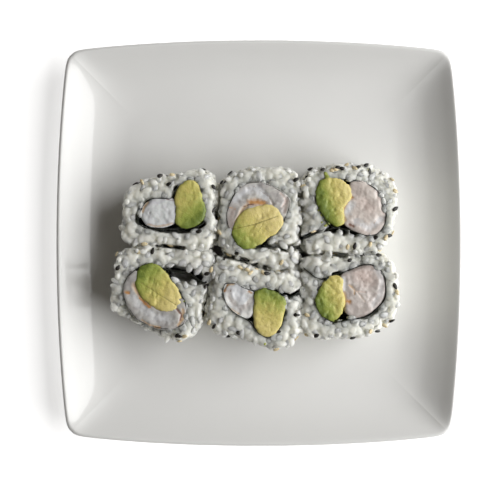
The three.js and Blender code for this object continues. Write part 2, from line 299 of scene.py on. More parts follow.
def finish_piece(
    piece: bpy.types.Object, material: bpy.types.Material, slot: str, *nodes: str
) -> None:
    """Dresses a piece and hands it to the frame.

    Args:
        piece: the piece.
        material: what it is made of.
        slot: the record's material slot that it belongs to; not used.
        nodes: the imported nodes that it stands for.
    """
    piece.data.materials.append(material)
    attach(piece, BODY)
    if nodes:
        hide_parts(*nodes)
    LOG.info("%s: %d faces", piece.name, len(piece.data.polygons))


class Draft:
    """A material under way, with the steps that several finishes share."""

    def __init__(self, name: str) -> None:
        """Starts an empty node material of that name."""
        self.material = bpy.data.materials.new(name)
        self.material.use_nodes = True
        self.tree = self.material.node_tree
        self.tree.nodes.clear()
        self.place = add_node(self.tree, "TexCoord").outputs["Object"]

    def read(self, attribute: str, output: str = "Fac") -> Socket:
        """What the mesh's attribute says at each point."""
        return add_node(self.tree, "Attribute", attribute_name=attribute).outputs[output]

    def clouds(self, feature_mm: float, detail: float, distortion: float = 0.0) -> Socket:
        """Soft noise from 0 to 1.

        Args:
            feature_mm: how wide its largest clouds are.
            detail: how many finer ones lie over one another.
            distortion: how far they are twisted.

        Returns:
            The noise.
        """
        sockets = {"Vector": self.place, "Scale": 1 / (feature_mm * MM), "Detail": detail}
        node = add_node(self.tree, "TexNoise", {**sockets, "Distortion": distortion})
        return node.outputs["Fac"]

    def weighted(self, value: Socket, weight: float | Socket, rest: float | Socket) -> Socket:
        """A value times its weight, and the rest added to it."""
        sockets = {0: value, 1: weight, 2: rest}
        return add_node(self.tree, "Math", sockets, operation="MULTIPLY_ADD").outputs[0]

    def remapped(self, value: Socket, given: Range, wanted: Range = (0.0, 1.0)) -> Socket:
        """Maps a value from one range to another, and holds it at the ends."""
        ends = {"From Min": given[0], "From Max": given[1]}
        ends |= {"To Min": wanted[0], "To Max": wanted[1]}
        return add_node(self.tree, "MapRange", {"Value": value, **ends}).outputs[0]

    def ramp(self, share: Socket, *stops: tuple[float, str]) -> Socket:
        """Runs through colours as a share rises."""
        return add_node(self.tree, "ValToRGB", {"Fac": share}, stops).outputs["Color"]

    def blend(self, share: Socket, one: object, other: object) -> Socket:
        """Goes from one colour to another as a share rises."""
        sockets = {"Factor": share, 6: one, 7: other}
        return add_node(self.tree, "Mix", sockets, data_type="RGBA").outputs[2]

    def streaked(self, flesh: Socket) -> Socket:
        """Lays a piece's streaks over its flesh, with ragged edges.

        The attribute "gap" is the distance to the nearest streak, in its half widths, and a
        colour attribute holds that streak's colour, with its strength as the alpha. Some streaks
        are stains, others painted shade and painted highlight.

        Args:
            flesh: the colour under the streaks.

        Returns:
            The colour with the streaks.
        """
        ragged = self.weighted(self.clouds(1.3, 3.0), 1.6, self.read("gap"))
        cover = self.remapped(ragged, (1.0, 2.4), (1.0, 0.0))
        share = self.weighted(cover, self.read("stain_and_painted_light", "Alpha"), 0.0)
        return self.blend(share, flesh, self.read("stain_and_painted_light", "Color"))

    def close(
        self, sockets: dict[str, object], bumps: tuple[Socket, float, float] | None = None
    ) -> bpy.types.Material:
        """Gives the material its shader and its output.

        Args:
            sockets: value or linked output for the shader's inputs.
            bumps: the height of small bumps, their strength and their depth in mm.

        Returns:
            The finished material.
        """
        if bumps:
            height, strength, depth = bumps
            relief = {"Height": height, "Strength": strength, "Distance": depth * MM}
            sockets["Normal"] = add_node(self.tree, "Bump", relief).outputs[0]
        shader = add_node(self.tree, "BsdfPrincipled", sockets)
        add_node(self.tree, "OutputMaterial", {"Surface": shader.outputs[0]})
        return self.material


def glow_within(share: float, reach: Triple, depth_mm: float) -> dict[str, object]:
    """Shader inputs of something that light goes into.

    Args:
        share: how much of the light does.
        reach: how far its red, green and blue go, compared with one another.
        depth_mm: how far that is.

    Returns:
        The values by their inputs' names.
    """
    return {
        "Subsurface Weight": share,
        "Subsurface Radius": reach,
        "Subsurface Scale": depth_mm * MM,
    }


# ------------------------------------------------------------------ camera and light


@dataclass(frozen=True)
class Overhead:
    """The camera, straight above the plate and a little left of and before its middle."""

    x: float = -4.73 * MM
    y: float = -3.5 * MM
    height: float = 470 * MM
    frame: int = 500
    focal: float = 900.0
    sensor: float = 36.0

    @property
    def eye(self) -> Vector:
        """Where the camera stands."""
        return Vector((self.x, self.y, self.height))

    def towards(self, x: float, y: float, level: float) -> Vector:
        """The direction from the camera to a place in mm at a level in metres."""
        return (Vector((x * MM, y * MM, level)) - self.eye).normalized()

    def stand(self) -> None:
        """Makes the scene's camera."""
        data = bpy.data.cameras.new("overhead")
        data.sensor_width = self.sensor
        data.lens = self.sensor * self.focal / self.frame
        data.clip_start = 10 * MM
        camera = object_from(data, "overhead")
        camera.location = self.eye
        bpy.context.scene.camera = camera


@dataclass(frozen=True)
class Studio:
    """A pale floor, a dim room and one broad window to the right of the plate."""

    window_distance: float = 1.2
    window_elevation: float = 35.0
    window_turn: float = 1.0
    window_width: float = 1.5
    window_height: float = 1.15
    window_power: float = 26.5
    window_colour: str = "#FEFEFE"
    room_glow: float = 0.08
    room_colour: str = "#FFF4E8"
    backdrop_glow: float = 0.9
    backdrop_colour: str = "#F2F2F0"
    floor_size: float = 6.0
    floor_glow: float = 0.55
    floor_colour: str = "#FFFFFF"
    floor_roughness: float = 0.9

    def hang_window(self) -> None:
        """Makes the window, facing the plate."""
        data = bpy.data.lights.new("window", "AREA")
        data.shape = "RECTANGLE"
        data.size = self.window_width
        data.size_y = self.window_height
        data.energy = self.window_power
        data.color = linear(self.window_colour)[:3]
        rise = math.radians(self.window_elevation)
        towards = heading(self.window_turn) * math.cos(rise)
        towards.z = math.sin(rise)
        window = object_from(data, "window")
        window.location = towards * self.window_distance
        window.rotation_mode = "QUATERNION"
        window.rotation_quaternion = (-towards).to_track_quat("-Z", "Y")

    def fill_room(self) -> None:
        """Gives the world a dim light and, to the eye alone, a pale backdrop."""
        world = bpy.data.worlds.new("room")
        world.use_nodes = True
        tree = world.node_tree
        tree.nodes.clear()
        sides = {0: add_node(tree, "LightPath").outputs["Is Camera Ray"]}
        glows = (self.room_colour, self.room_glow), (self.backdrop_colour, self.backdrop_glow)
        for number, (colour, glow) in enumerate(glows, start=1):
            side = add_node(tree, "Background", {"Color": linear(colour), "Strength": glow})
            sides[number] = side.outputs[0]
        mix = add_node(tree, "MixShader", sides)
        add_node(tree, "OutputWorld", {"Surface": mix.outputs[0]})
        bpy.context.scene.world = world

    def lay_floor(self) -> None:
        """Makes the pale floor under the plate."""
        shape = bmesh.new()
        bmesh.ops.create_grid(shape, x_segments=1, y_segments=1, size=self.floor_size / 2)
        floor = object_from_bmesh(shape, "studio_floor")
        sockets = {
            "Base Color": linear(self.floor_colour),
            "Roughness": self.floor_roughness,
            "Emission Color": linear(self.floor_colour),
            "Emission Strength": self.floor_glow,
        }
        floor.data.materials.append(Draft("matte white paper sweep").close(sockets))


# ------------------------------------------------------------------ finishes


@dataclass(frozen=True)
class GlazedPorcelain:
    """Porcelain fired with a clear glaze: a cool white body under a wet-looking skin that
    mirrors windows, a little wavy where the glaze ran, and dry and rough at the foot."""

    body: str = "#E4E4E2"
    foot: str = "#D4CFC4"
    gloss: float = 0.09
    dry_foot: float = 0.75
    wave_mm: float = 28.0
    foot_height: float = 0.5 * MM

    def material(self) -> bpy.types.Material:
        """Builds the material."""
        draft = Draft("glazed porcelain")
        height = add_node(draft.tree, "SeparateXYZ", {0: draft.place}).outputs["Z"]
        glazed = draft.remapped(height, (self.foot_height, self.foot_height * 2))
        sockets = {
            "Base Color": draft.blend(glazed, linear(self.foot), linear(self.body)),
            "Roughness": draft.remapped(glazed, (0.0, 1.0), (self.dry_foot, self.gloss)),
            "IOR": 1.4,
        }
        return draft.close(sockets, (draft.clouds(self.wave_mm, 1.0), 0.25, 0.5))


@dataclass(frozen=True)
class SteamedRice:
    """Short-grain rice, steamed and dressed: plump grains that the light goes deep into, glued
    together by their own moist starch. The attribute "tone" goes from 0, in the damp by the
    seaweed and in the painted shade of the creases between grains, to 1, dry outside."""

    dry: str = "#E9E8DD"
    # the colour of damp rice by the seaweed, also used as painted shade in the creases between
    # grains
    damp_and_shade: str = "#BEC0B9"
    cloud_mm: float = 2.4
    film_mm: float = 1.1

    def material(self) -> bpy.types.Material:
        """Builds the material."""
        draft = Draft("steamed rice")
        share = draft.weighted(draft.clouds(self.cloud_mm, 3.0), 1.5, draft.read("tone"))
        share = draft.remapped(share, (0.75, 1.75))
        sockets = {
            "Base Color": draft.ramp(share, (0.0, self.damp_and_shade), (1.0, self.dry)),
            "Roughness": 0.42,
            "IOR": 1.4,
            "Coat Weight": 0.15,
            "Coat Roughness": 0.18,
            **glow_within(1.0, (1.0, 0.97, 0.92), 6.0),
        }
        return draft.close(sockets, (draft.clouds(self.film_mm, 2.0), 0.3, 0.25))


@dataclass(frozen=True)
class RoastedNori:
    """Seaweed pressed into paper, roasted and then damp from the rice: nearly black with a
    green cast, and a fibrous, faintly shiny face."""

    colour: str = "#12150F"
    # a painted sheen: a lighter colour where the fibre noise is high
    sheen: str = "#232B1E"
    fibre_mm: float = 0.8

    def material(self) -> bpy.types.Material:
        """Builds the material."""
        draft = Draft("roasted nori")
        fibres = draft.clouds(self.fibre_mm, 4.0)
        colour = draft.ramp(fibres, (0.4, self.colour), (0.75, self.sheen))
        return draft.close({"Base Color": colour, "Roughness": 0.5}, (fibres, 0.6, 0.3))


@dataclass(frozen=True)
class BoiledPrawn:
    """Boiled prawn, cut across: milky wet flesh in soft folds, with streaks where its orange
    skin runs through the cut."""

    name: str
    flesh: str
    shade: str
    fold_mm: float = 5.5
    fibre_mm: float = 0.9

    def material(self) -> bpy.types.Material:
        """Builds the material."""
        draft = Draft(self.name)
        folds = draft.clouds(self.fold_mm, 3.0, distortion=1.2)
        flesh = draft.ramp(folds, (0.28, self.shade), (0.62, self.flesh))
        sockets = {
            "Base Color": draft.streaked(flesh),
            "Roughness": 0.3,
            "IOR": 1.38,
            "Coat Weight": 0.25,
            "Coat Roughness": 0.15,
            **glow_within(0.35, (1.0, 0.92, 0.88), 0.8),
        }
        return draft.close(sockets, (draft.clouds(self.fibre_mm, 3.0), 0.3, 0.3))


@dataclass(frozen=True)
class RipeAvocado:
    """Ripe avocado, cut with a wet knife: butter-yellow by the stone, green by the skin, smooth
    with a fat shine. The attribute "skinward" is 1 at the skin."""

    stone_side: str = "#DFCE8E"
    middle: str = "#CBBF70"
    skin_side: str = "#9BA54E"
    rim: str = "#6C7C32"
    mottle_mm: float = 2.6
    grit_mm: float = 0.8

    def material(self) -> bpy.types.Material:
        """Builds the material."""
        draft = Draft("ripe avocado")
        mottle = draft.clouds(self.mottle_mm, 4.0)
        share = draft.remapped(draft.weighted(mottle, 0.5, draft.read("skinward")), (0.0, 1.2))
        greens = (0.45, self.middle), (0.8, self.skin_side), (1.0, self.rim)
        sockets = {
            "Base Color": draft.streaked(draft.ramp(share, (0.15, self.stone_side), *greens)),
            "Roughness": 0.42,
            "IOR": 1.45,
            **glow_within(0.2, (1.0, 0.9, 0.4), 0.8),
        }
        return draft.close(sockets, (draft.clouds(self.grit_mm, 3.0), 0.6, 0.35))


@dataclass(frozen=True)
class SeedHull:
    """A sesame seed's hull: matt and finely ribbed, with an oily glint when toasted."""

    name: str
    colour: str
    tip: str
    speckle_mm: float = 0.7

    def material(self) -> bpy.types.Material:
        """Builds the material."""
        draft = Draft(self.name)
        speckle = draft.clouds(self.speckle_mm, 2.0)
        colour = draft.ramp(speckle, (0.35, self.colour), (0.7, self.tip))
        return draft.close({"Base Color": colour, "Roughness": 0.4}, (speckle, 0.3, 0.15))


# ------------------------------------------------------------------ the plate


@dataclass
class Plate:
    """The porcelain plate: a foot ring, a flat floor and a rim that curves up all round."""

    node: str = "plate"
    bow_share: float = 5.5 / 102.5  # how far its sides bow out, of half their width
    crowding: float = 1.8  # how much closer the points of a side stand near its corners
    around: int = 224
    steps: int = 4
    finish: GlazedPorcelain = GlazedPorcelain()

    def section(self) -> list[Triple]:
        """The wall's section from the middle of the underside to the middle of the floor.

        Returns:
            Half width in mm, height in mm and sharpness of the corners at each point.
        """
        return [
            (10, 1.6, 8), (40, 1.6, 10), (57, 1.6, 12), (60, 0, 12), (64, 0, 12),
            (66.5, 2.2, 12), (82, 3.4, 16), (91, 5.8, 22), (97.6, 9.4, 28), (101.8, 13.6, 34),
            (102.5, 15.6, 34), (101.4, 17, 34), (99.8, 16.4, 30), (95.6, 13.5, 24),
            (91, 10.8, 20), (86, 8.5, 17), (80, 6.9, 14), (73.5, 6.05, 12), (66, 6, 10),
            (50, 6, 8), (30, 6, 6), (10, 6, 4),
        ]  # fmt: skip

    def smooth_section(self) -> list[Triple]:
        """The section with a smooth curve between its points."""
        rows = np.array(self.section())
        smooth = []
        for i in range(len(rows) - 1):
            a, b, c, d = (rows[min(max(i + k, 0), len(rows) - 1)] for k in (-1, 0, 1, 2))
            for t in np.arange(self.steps) / self.steps:
                bend = (2 * a - 5 * b + 4 * c - d) * t**2 + (3 * b - 3 * c + d - a) * t**3
                smooth.append(0.5 * (2 * b + (c - a) * t + bend))
        smooth.append(rows[-1])
        widest = rows[:, 0].max()
        return [(min(half, widest), max(z, 0.0), corner) for half, z, corner in smooth]

    def outline(self, half: float, sharpness: float) -> list[Vector]:
        """A square with bowed sides and rounded corners, in metres."""
        points = []
        side = self.around // 4
        for index in range(self.around):
            quarter, step = divmod(index, side)
            s = step / side * 2 - 1
            spread = math.copysign(abs(s) ** self.crowding, s)
            angle = math.pi / 4 * (1 + spread) + math.pi / 2 * quarter
            c, d = abs(math.cos(angle)), abs(math.sin(angle))
            slope = min(c, d) / max(c, d)
            reach = half * (1 - self.bow_share * slope**2)
            radius = reach / (c**sharpness + d**sharpness) ** (1 / sharpness)
            points.append(Vector((radius * math.cos(angle), radius * math.sin(angle), 0)) * MM)
        return points

    def place(self, ring: list[bmesh.types.BMVert], row: Triple) -> None:
        """Moves a ring of points onto the outline at one step of the section."""
        half, height, sharpness = row
        for vert, point in zip(ring, self.outline(half, sharpness)):
            vert.co = point + Vector((0, 0, height * MM))

    def build(self) -> None:
        """Draws a ring of points along the section and closes both ends."""
        shape = bmesh.new()
        first, *rest = self.smooth_section()
        ring = bmesh.ops.create_circle(shape, segments=self.around, radius=1)["verts"]
        self.place(ring, first)
        edges = list(shape.edges)
        bmesh.ops.contextual_create(shape, geom=edges)
        for row in rest:
            made = bmesh.ops.extrude_edge_only(shape, edges=edges)["geom"]
            new = [e for e in made if isinstance(e, bmesh.types.BMVert)]
            edges = [e for e in made if isinstance(e, bmesh.types.BMEdge)]
            edges = [e for e in edges if all(v in new for v in e.verts)]
            self.place(new, row)
        bmesh.ops.contextual_create(shape, geom=edges)
        bmesh.ops.recalc_face_normals(shape, faces=shape.faces)
        piece = object_from_bmesh(shape, "glazed_plate")
        finish_piece(piece, self.finish.material(), "porcelain", self.node)


# ------------------------------------------------------------------ scattered grains


@dataclass(frozen=True)
class Grain:
    """A small plump shape with a few dozen faces, that many copies are made of."""

    length: float
    width: float
    bend: float  # how far its ends drop, as a share of its width
    thickness: float = 0.88  # as a share of its width
    bluntness: float = 0.1  # how much one end is thicker than the other
    taper: float = 0.0  # how much one end is wider than the other

    def mesh(self) -> tuple[np.ndarray, np.ndarray]:
        """Its points and its triangles."""
        shape = bmesh.new()
        bmesh.ops.create_icosphere(shape, subdivisions=2, radius=0.5)
        shape.verts.index_update()
        points = np.array([v.co[:] for v in shape.verts])
        faces = np.array([[v.index for v in f.verts] for f in shape.faces])
        shape.free()
        along = points[:, 0] * 2
        blunt = 1 + self.bluntness * along - self.bluntness * along**2
        points[:, 0] *= self.length
        points[:, 1] *= self.width * blunt * (1 - self.taper * along)
        points[:, 2] *= self.width * self.thickness * blunt
        points[:, 2] -= self.bend * self.width * along**2
        return points, faces

    def copies(
        self,
        name: str,
        places: np.ndarray,
        turns: np.ndarray,
        sizes: np.ndarray,
        tones: np.ndarray,
    ) -> bpy.types.Object:
        """Joins many turned and scaled copies into one mesh.

        Args:
            name: the new object's name.
            places: where each copy's middle goes.
            turns: a rotation matrix for each copy.
            sizes: three scale factors for each copy.
            tones: a number for each copy, kept as the attribute "tone".

        Returns:
            The joined object.
        """
        points, faces = self.mesh()
        scaled = points[None, :, :] * sizes[:, None, :]
        moved = np.einsum("nij,nvj->nvi", turns, scaled) + np.asarray(places)[:, None, :]
        first = np.arange(len(places)) * len(points)
        shifted = (faces[None, :, :] + first[:, None, None]).reshape(-1, 3)
        mesh = bpy.data.meshes.new(name)
        mesh.from_pydata(moved.reshape(-1, 3).tolist(), [], shifted.tolist())
        mesh.shade_smooth()
        paint(mesh, "tone", np.repeat(tones, len(points)))
        return object_from(mesh, name)


def unit_rows(rows: np.ndarray) -> np.ndarray:
    """Brings each row of an array to the length 1."""
    return rows / (np.linalg.norm(rows, axis=1, keepdims=True) + 1e-12)


def frames_from(
    normals: np.ndarray, alongs: np.ndarray, rng: np.random.Generator, tilt: float
) -> np.ndarray:
    """Rotation matrices that lay a copy's X along one direction and its Z along a normal.

    Args:
        normals: the direction away from the surface at each place.
        alongs: the direction that each copy's length follows.
        rng: the source of random numbers.
        tilt: how far, in radians, a copy may rear up out of the surface.

    Returns:
        One matrix for each place.
    """
    normals, alongs = np.asarray(normals), np.asarray(alongs)
    rear = rng.normal(0, tilt, (len(normals), 1))
    x = unit_rows(alongs - normals * np.sum(alongs * normals, axis=1, keepdims=True))
    x = x * np.cos(rear) + normals * np.sin(rear)
    y = unit_rows(np.cross(normals, x))
    return np.stack([x, y, np.cross(x, y)], axis=2)


def scattered(
    node: bpy.types.Object, rng: np.random.Generator, spacing: float
) -> tuple[np.ndarray, np.ndarray]:
    """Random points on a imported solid, several times as many as fit at the spacing.

    Args:
        node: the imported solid.
        rng: the source of random numbers.
        spacing: the distance that will be kept between the chosen points.

    Returns:
        Points and the normals of their faces.
    """
    mesh = node.data
    mesh.calc_loop_triangles()
    index = np.empty(len(mesh.loop_triangles) * 3, int)
    mesh.loop_triangles.foreach_get("vertices", index)
    corners = read_rows(mesh)[index].reshape(-1, 3, 3)
    cross = np.cross(corners[:, 1] - corners[:, 0], corners[:, 2] - corners[:, 0])
    areas = np.linalg.norm(cross, axis=1) / 2
    normals = cross / (2 * areas[:, None] + 1e-20)
    count = int(5 * areas.sum() / spacing**2)
    picks = rng.choice(len(areas), count, p=areas / areas.sum())
    r1, r2 = np.sqrt(rng.random((count, 1))), rng.random((count, 1))
    a, b, c = (corners[picks, k] for k in range(3))
    return a * (1 - r1) + b * r1 * (1 - r2) + c * r1 * r2, normals[picks]


def spaced(points: np.ndarray, spacing: float) -> np.ndarray:
    """Picks points that keep their distance, in the order given.

    Args:
        points: the candidates.
        spacing: the least distance between two chosen points.

    Returns:
        The numbers of the chosen points.
    """
    chosen: list[int] = []
    kept = np.empty((len(points), 3))
    for i, point in enumerate(points):
        gaps = kept[: len(chosen)] - point
        if not chosen or np.einsum("ij,ij->i", gaps, gaps).min() > spacing**2:
            kept[len(chosen)] = point
            chosen.append(i)
    return np.array(chosen, int)


# ------------------------------------------------------------------ one piece of the roll


@dataclass(frozen=True)
class Stroke:
    """A streak on a cut face: its colour, its width in mm and the places it runs through."""

    stain_and_painted_light: StainAndPaintedLight
    width: float
    path: tuple[Place, ...]
    strength: float = 0.92


@dataclass(frozen=True)
class Opening:
    """A place where the rice has come apart, down a line or round one spot. All is in mm."""

    radius: float
    path: tuple[Place, ...]

    def share(self, points: np.ndarray) -> np.ndarray:
        """How much of the rice is missing at each point: 1 in the middle."""
        return np.clip(1.5 - gap_to(points, self.path) / (self.radius * MM), 0, 1)


def holes(*spots: Triple) -> tuple[Opening, ...]:
    """Round openings, each given by its place and its radius in mm."""
    return tuple(Opening(radius, ((x, y),)) for x, y, radius in spots)


@dataclass(frozen=True)
class Cut:
    """What the eye tells apart on one cut face. Places are in mm on the plate, at the height of
    the cut faces. A third number is an angle in degrees."""

    spot: Spot
    skin_side: Place  # where the avocado is greenest
    stone_side: Place  # where it is most yellow
    greenness: float  # of the stone side, from butter yellow, 0, to the skin's green, 1
    crumble: float  # how far its edges and its cut face have broken up, in mm
    flesh: str  # the prawn's
    shade: str  # the same in its folds
    strokes: tuple[Stroke, ...]
    fibres: tuple[Stroke, ...] = ()  # through the avocado
    openings: tuple[Opening, ...] = ()  # beside the seaweed and between the two rows
    astray: tuple[Triple, ...] = ()  # grains that lie across it
    crumbs: tuple[tuple[float, float, float, float], ...] = ()  # place, length and turn
    black: tuple[Triple, ...] = ()
    toasted: tuple[Triple, ...] = ()


@dataclass
class Piece:
    """One piece of the roll: rice, seaweed, prawn and avocado."""

    cut: Cut
    frame: dict
    grain: Grain = Grain(6.0 * MM, 3.2 * MM, bend=0.12)
    glued_spacing: float = 2.4 * MM  # between the grains that are one mass with the inside
    glued_proud: float = 0.5 * MM  # how far their backs stand out of the solid
    loose_spacing: float = 4.2 * MM  # between the whole grains that sit on it
    loose_proud: float = 0.55 * MM
    flatness: float = 0.55  # of the grains that the knife went over
    jutting: float = 0.7 * MM  # how much further some grains of the wall stand out
    voxel: float = 0.45 * MM
    swell: float = 0.6 * MM  # how far a filling fills the play round its solid
    brim: float = 0.8 * MM  # how much further its upper edge reaches
    seaweed_pared: float = 0.15 * MM  # off each face of the seaweed's solid
    seaweed_steps: int = 9
    seaweed_sway: float = 0.3 * MM
    seaweed_flutter: float = 0.8 * MM  # how far its upper edge rises and falls
    settled: float = 0.55 * MM  # how far the cut face has sunk under its solid's
    cut_zone: float = 3.0 * MM  # what stands as near the top as this is part of that face
    opening_reach: float = 9.0 * MM  # how far under the top the rice has come apart
    opening_drop: float = 13.0 * MM  # how far its surface has sunk there
    damp_reach: float = 5.5 * MM  # how far the damp of the seaweed goes into the rice
    crease: float = 0.05 * MM  # the depth at which a crease is fully darkened by painted shade
    crease_shade: float = 0.2  # how much painted shade a crease gets, as a darker tone
    plump: float = 0.9 * MM  # how far the rice may swell into the play round its solid
    meagre: float = 0.15 * MM  # how far it swells where no other piece is near
    neighbour: float = 3.2 * MM  # how near another piece has to be for it to swell further
    hugging: float = 2.2 * MM  # how near the seaweed the rice swells inwards
    ripple: float = 2.6 * MM  # how wide the waves of its inner edge are
    beside_nori: float = 2.8 * MM  # how near the seaweed grains lie along it
    least_from_nori: tuple[float, float] = (0.3 * MM, 1.1 * MM)  # of the grains on the cut face
    under_wall: float = 2.4 * MM  # the same for the grains of the wall
    jutting_share: float = 0.3  # of the grains of the wall
    half_thick: float = 0.44  # half of a grain's thickness, as a share of its width
    grain_tilt: float = math.radians(10)
    mass_drawn: float = 0.45 * MM  # how far the solid is drawn in under its grains
    mass_under: float = 0.75 * MM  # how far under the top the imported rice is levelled
    grains_under: float = 0.6 * MM  # the same for the whole grains

    def __post_init__(self) -> None:
        """Finds the piece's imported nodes."""
        self.name = self.cut.spot.value
        self.number = list(Spot).index(self.cut.spot)
        self.rice, self.nori = self.packed("rice"), self.packed("nori")
        self.nori_tree = tree_of(self.nori)
        others = [spot.value for spot in Spot if spot is not self.cut.spot]
        self.others_tree = tree_of(*(self.frame["nodes"][f"rice_{name}"] for name in others))
        low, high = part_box(self.rice.name)
        self.bottom, self.top = low.z, high.z
        self.rng = np.random.default_rng(100 + self.number)

    def packed(self, food: str) -> bpy.types.Object:
        """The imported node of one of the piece's foods."""
        return self.frame["nodes"][f"{food}_{self.name}"]

    # -------------------------------------------------------------- rice

    def from_nori(self, points: np.ndarray) -> tuple[np.ndarray, np.ndarray]:
        """How far points lie from the seaweed, and which way.

        Args:
            points: the places to measure.

        Returns:
            The distances, and the seaweed's normal nearest each point.
        """
        found = [self.nori_tree.find_nearest(Vector(p)) for p in points]
        return np.array([f[3] for f in found]), np.array([f[1][:] for f in found])

    def missing(self, points: np.ndarray) -> np.ndarray:
        """How much of the rice is missing at each point: 1 in the middle of an opening."""
        share = np.zeros(len(points))
        for opening in self.cut.openings:
            share = np.maximum(share, opening.share(points))
        return share * (points[:, 2] > self.top - self.opening_reach)

    def sink(self, points: np.ndarray) -> np.ndarray:
        """Lowers what is part of the cut face to where it has settled."""
        points[:, 2] -= self.settled * (points[:, 2] > self.top - self.cut_zone)
        return points

    def dryness(self, distance: np.ndarray) -> np.ndarray:
        """The attribute "tone": damp by the seaweed, dry some grains away from it."""
        return 0.1 + 0.75 * np.clip(distance / self.damp_reach, 0, 1)

    def tone(self, mesh: bpy.types.Mesh) -> np.ndarray:
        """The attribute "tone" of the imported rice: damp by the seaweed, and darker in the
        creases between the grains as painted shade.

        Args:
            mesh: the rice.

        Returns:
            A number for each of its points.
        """
        points, normals = read_rows(mesh), read_rows(mesh, "normal")
        ends = np.empty(len(mesh.edges) * 2, int)
        mesh.edges.foreach_get("vertices", ends)
        one, other = ends.reshape(-1, 2).T
        around = np.zeros_like(points)
        np.add.at(around, one, points[other])
        np.add.at(around, other, points[one])
        count = np.bincount(ends, minlength=len(points))[:, None]
        depth = np.sum((around / count - points) * normals, axis=1) / self.crease
        # painted shade: the tone is lowered in the creases between grains
        damp_and_shade = self.crease_shade * np.clip(depth, -0.3, 1)
        return np.clip(self.dryness(self.from_nori(points)[0]) - damp_and_shade, 0, 1)

    def swollen(self, points: np.ndarray, normals: np.ndarray) -> np.ndarray:
        """Swells the rice sideways: outwards until it meets the next piece, and inwards
        unevenly against the seaweed.

        Args:
            points: places on the rice.
            normals: its directions there.

        Returns:
            The places moved.
        """
        distance, _ = self.from_nori(points)
        room = np.array([self.others_tree.find_nearest(Vector(p))[3] for p in points])
        pressed = np.clip(room / 2 - 0.1 * MM, 0, self.plump)
        free = np.clip(self.neighbour - room, self.meagre, self.plump)
        outwards = np.where(room > 3 * MM, free, pressed)
        waves = np.array([noise.noise(Vector(p) / self.ripple) for p in points])
        inwards = (0.75 + 0.7 * waves) * MM * (1 - self.missing(points))
        reach = np.where(distance < self.hugging, inwards, outwards)
        low = np.clip((points[:, 2] - self.bottom) / (3 * MM), 0, 1)
        return points + normals * (1, 1, 0) * (reach * low)[:, None]

    def lay_grains(self, spacing: float, proud: float) -> tuple[np.ndarray, ...]:
        """Spreads grains over the outside and the cut face of the rice's solid.

        Args:
            spacing: the least distance between two grains.
            proud: how far a grain's back stands out of the solid, in metres.

        Returns:
            Their middles, rotation matrices, scale factors and distances from the seaweed.
        """
        rng = self.rng
        points, normals = scattered(self.rice, rng, spacing)
        distance, side = self.from_nori(points)
        shown = (normals[:, 2] > -0.5) & (points[:, 2] > self.bottom + 1.0 * MM)
        on_face = rng.uniform(*self.least_from_nori, len(points))
        nearest = np.where(normals[:, 2] > 0.5, on_face, self.under_wall)
        kept = np.flatnonzero(shown & (distance > nearest) & (self.missing(points) < 0.6))
        kept = kept[spaced(points[kept], spacing)]
        points, normals, distance, side = (a[kept] for a in (points, normals, distance, side))
        count = len(points)
        on_top = normals[:, 2] > 0.5
        close = distance < self.beside_nori
        alongs = rng.normal(0, 1, (count, 3))
        alongs = np.where(close[:, None], np.cross(side, normals) + 0.3 * alongs, alongs)
        normals = np.where(on_top[:, None], normals * 0.4 + (0, 0, 0.6), normals)
        normals = unit_rows(normals)
        lengths = rng.normal(1, 0.12, count) * np.where(close, 0.85, 1.0)
        widths = rng.normal(1, 0.09, count)
        heights = rng.normal(1, 0.06, count) * np.where(on_top, self.flatness, 0.9)
        juts = self.jutting * ((~on_top) & (rng.random(count) < self.jutting_share))
        sunk = self.half_thick * self.grain.width * heights
        sunk -= proud * rng.uniform(0.3, 1.0, count) + juts
        places = points - normals * sunk[:, None]
        places = self.swollen(places, np.where(on_top[:, None], 0.0, normals))
        sizes = np.stack([lengths, widths, heights], axis=1)
        return places, frames_from(normals, alongs, rng, self.grain_tilt), sizes, distance

    def build_mass(self, finish: bpy.types.Material) -> bpy.types.Object:
        """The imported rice: grains glued by their starch into one mass with the inside."""
        places, turns, sizes, _ = self.lay_grains(self.glued_spacing, self.glued_proud)
        glued = self.grain.copies("glued", places, turns, sizes, np.zeros(len(places)))
        mass = merged_bmesh(self.rice)
        mass.normal_update()
        for vert in mass.verts:
            gap = self.nori_tree.find_nearest(vert.co)[3]
            drawn = self.mass_drawn * min(max(gap / (3 * MM), 0.1), 1)
            vert.co = vert.co - vert.normal * drawn
        mass.from_mesh(glued.data)
        bpy.data.objects.remove(glued)
        piece = object_from_bmesh(mass, f"packed_rice_{self.name}")
        film = {"iterations": 5, "factor": 0.5}
        reshape(piece, remesh={"mode": "VOXEL", "voxel_size": self.voxel}, smooth=film)
        points = self.swollen(read_rows(piece.data), read_rows(piece.data, "normal"))
        points[:, 2] -= self.opening_drop * self.missing(points)
        points = self.sink(points)
        points[:, 2] = np.maximum(points[:, 2], self.bottom)
        write_points(piece.data, points)
        level_off(piece.data, self.top - self.mass_under)
        paint(piece.data, "tone", self.tone(piece.data))
        finish_piece(piece, finish, "rice", self.rice.name)
        return piece

    def build_grains(self, finish: bpy.types.Material) -> bpy.types.Object:
        """Whole grains that sit on the mass, and those that lie across the seaweed."""
        laid = self.lay_grains(self.loose_spacing, self.loose_proud)
        self.sink(laid[0])
        both = (np.concatenate(pair) for pair in zip(laid, self.strays()))
        places, turns, sizes, distance = both
        tones = self.dryness(distance) + self.rng.normal(0, 0.2, len(places))
        name = f"grains_{self.name}"
        grains = self.grain.copies(name, places, turns, sizes, np.clip(tones, 0, 1))
        level_off(grains.data, self.top - self.grains_under)
        finish_piece(grains, finish, "rice", self.rice.name)
        return grains

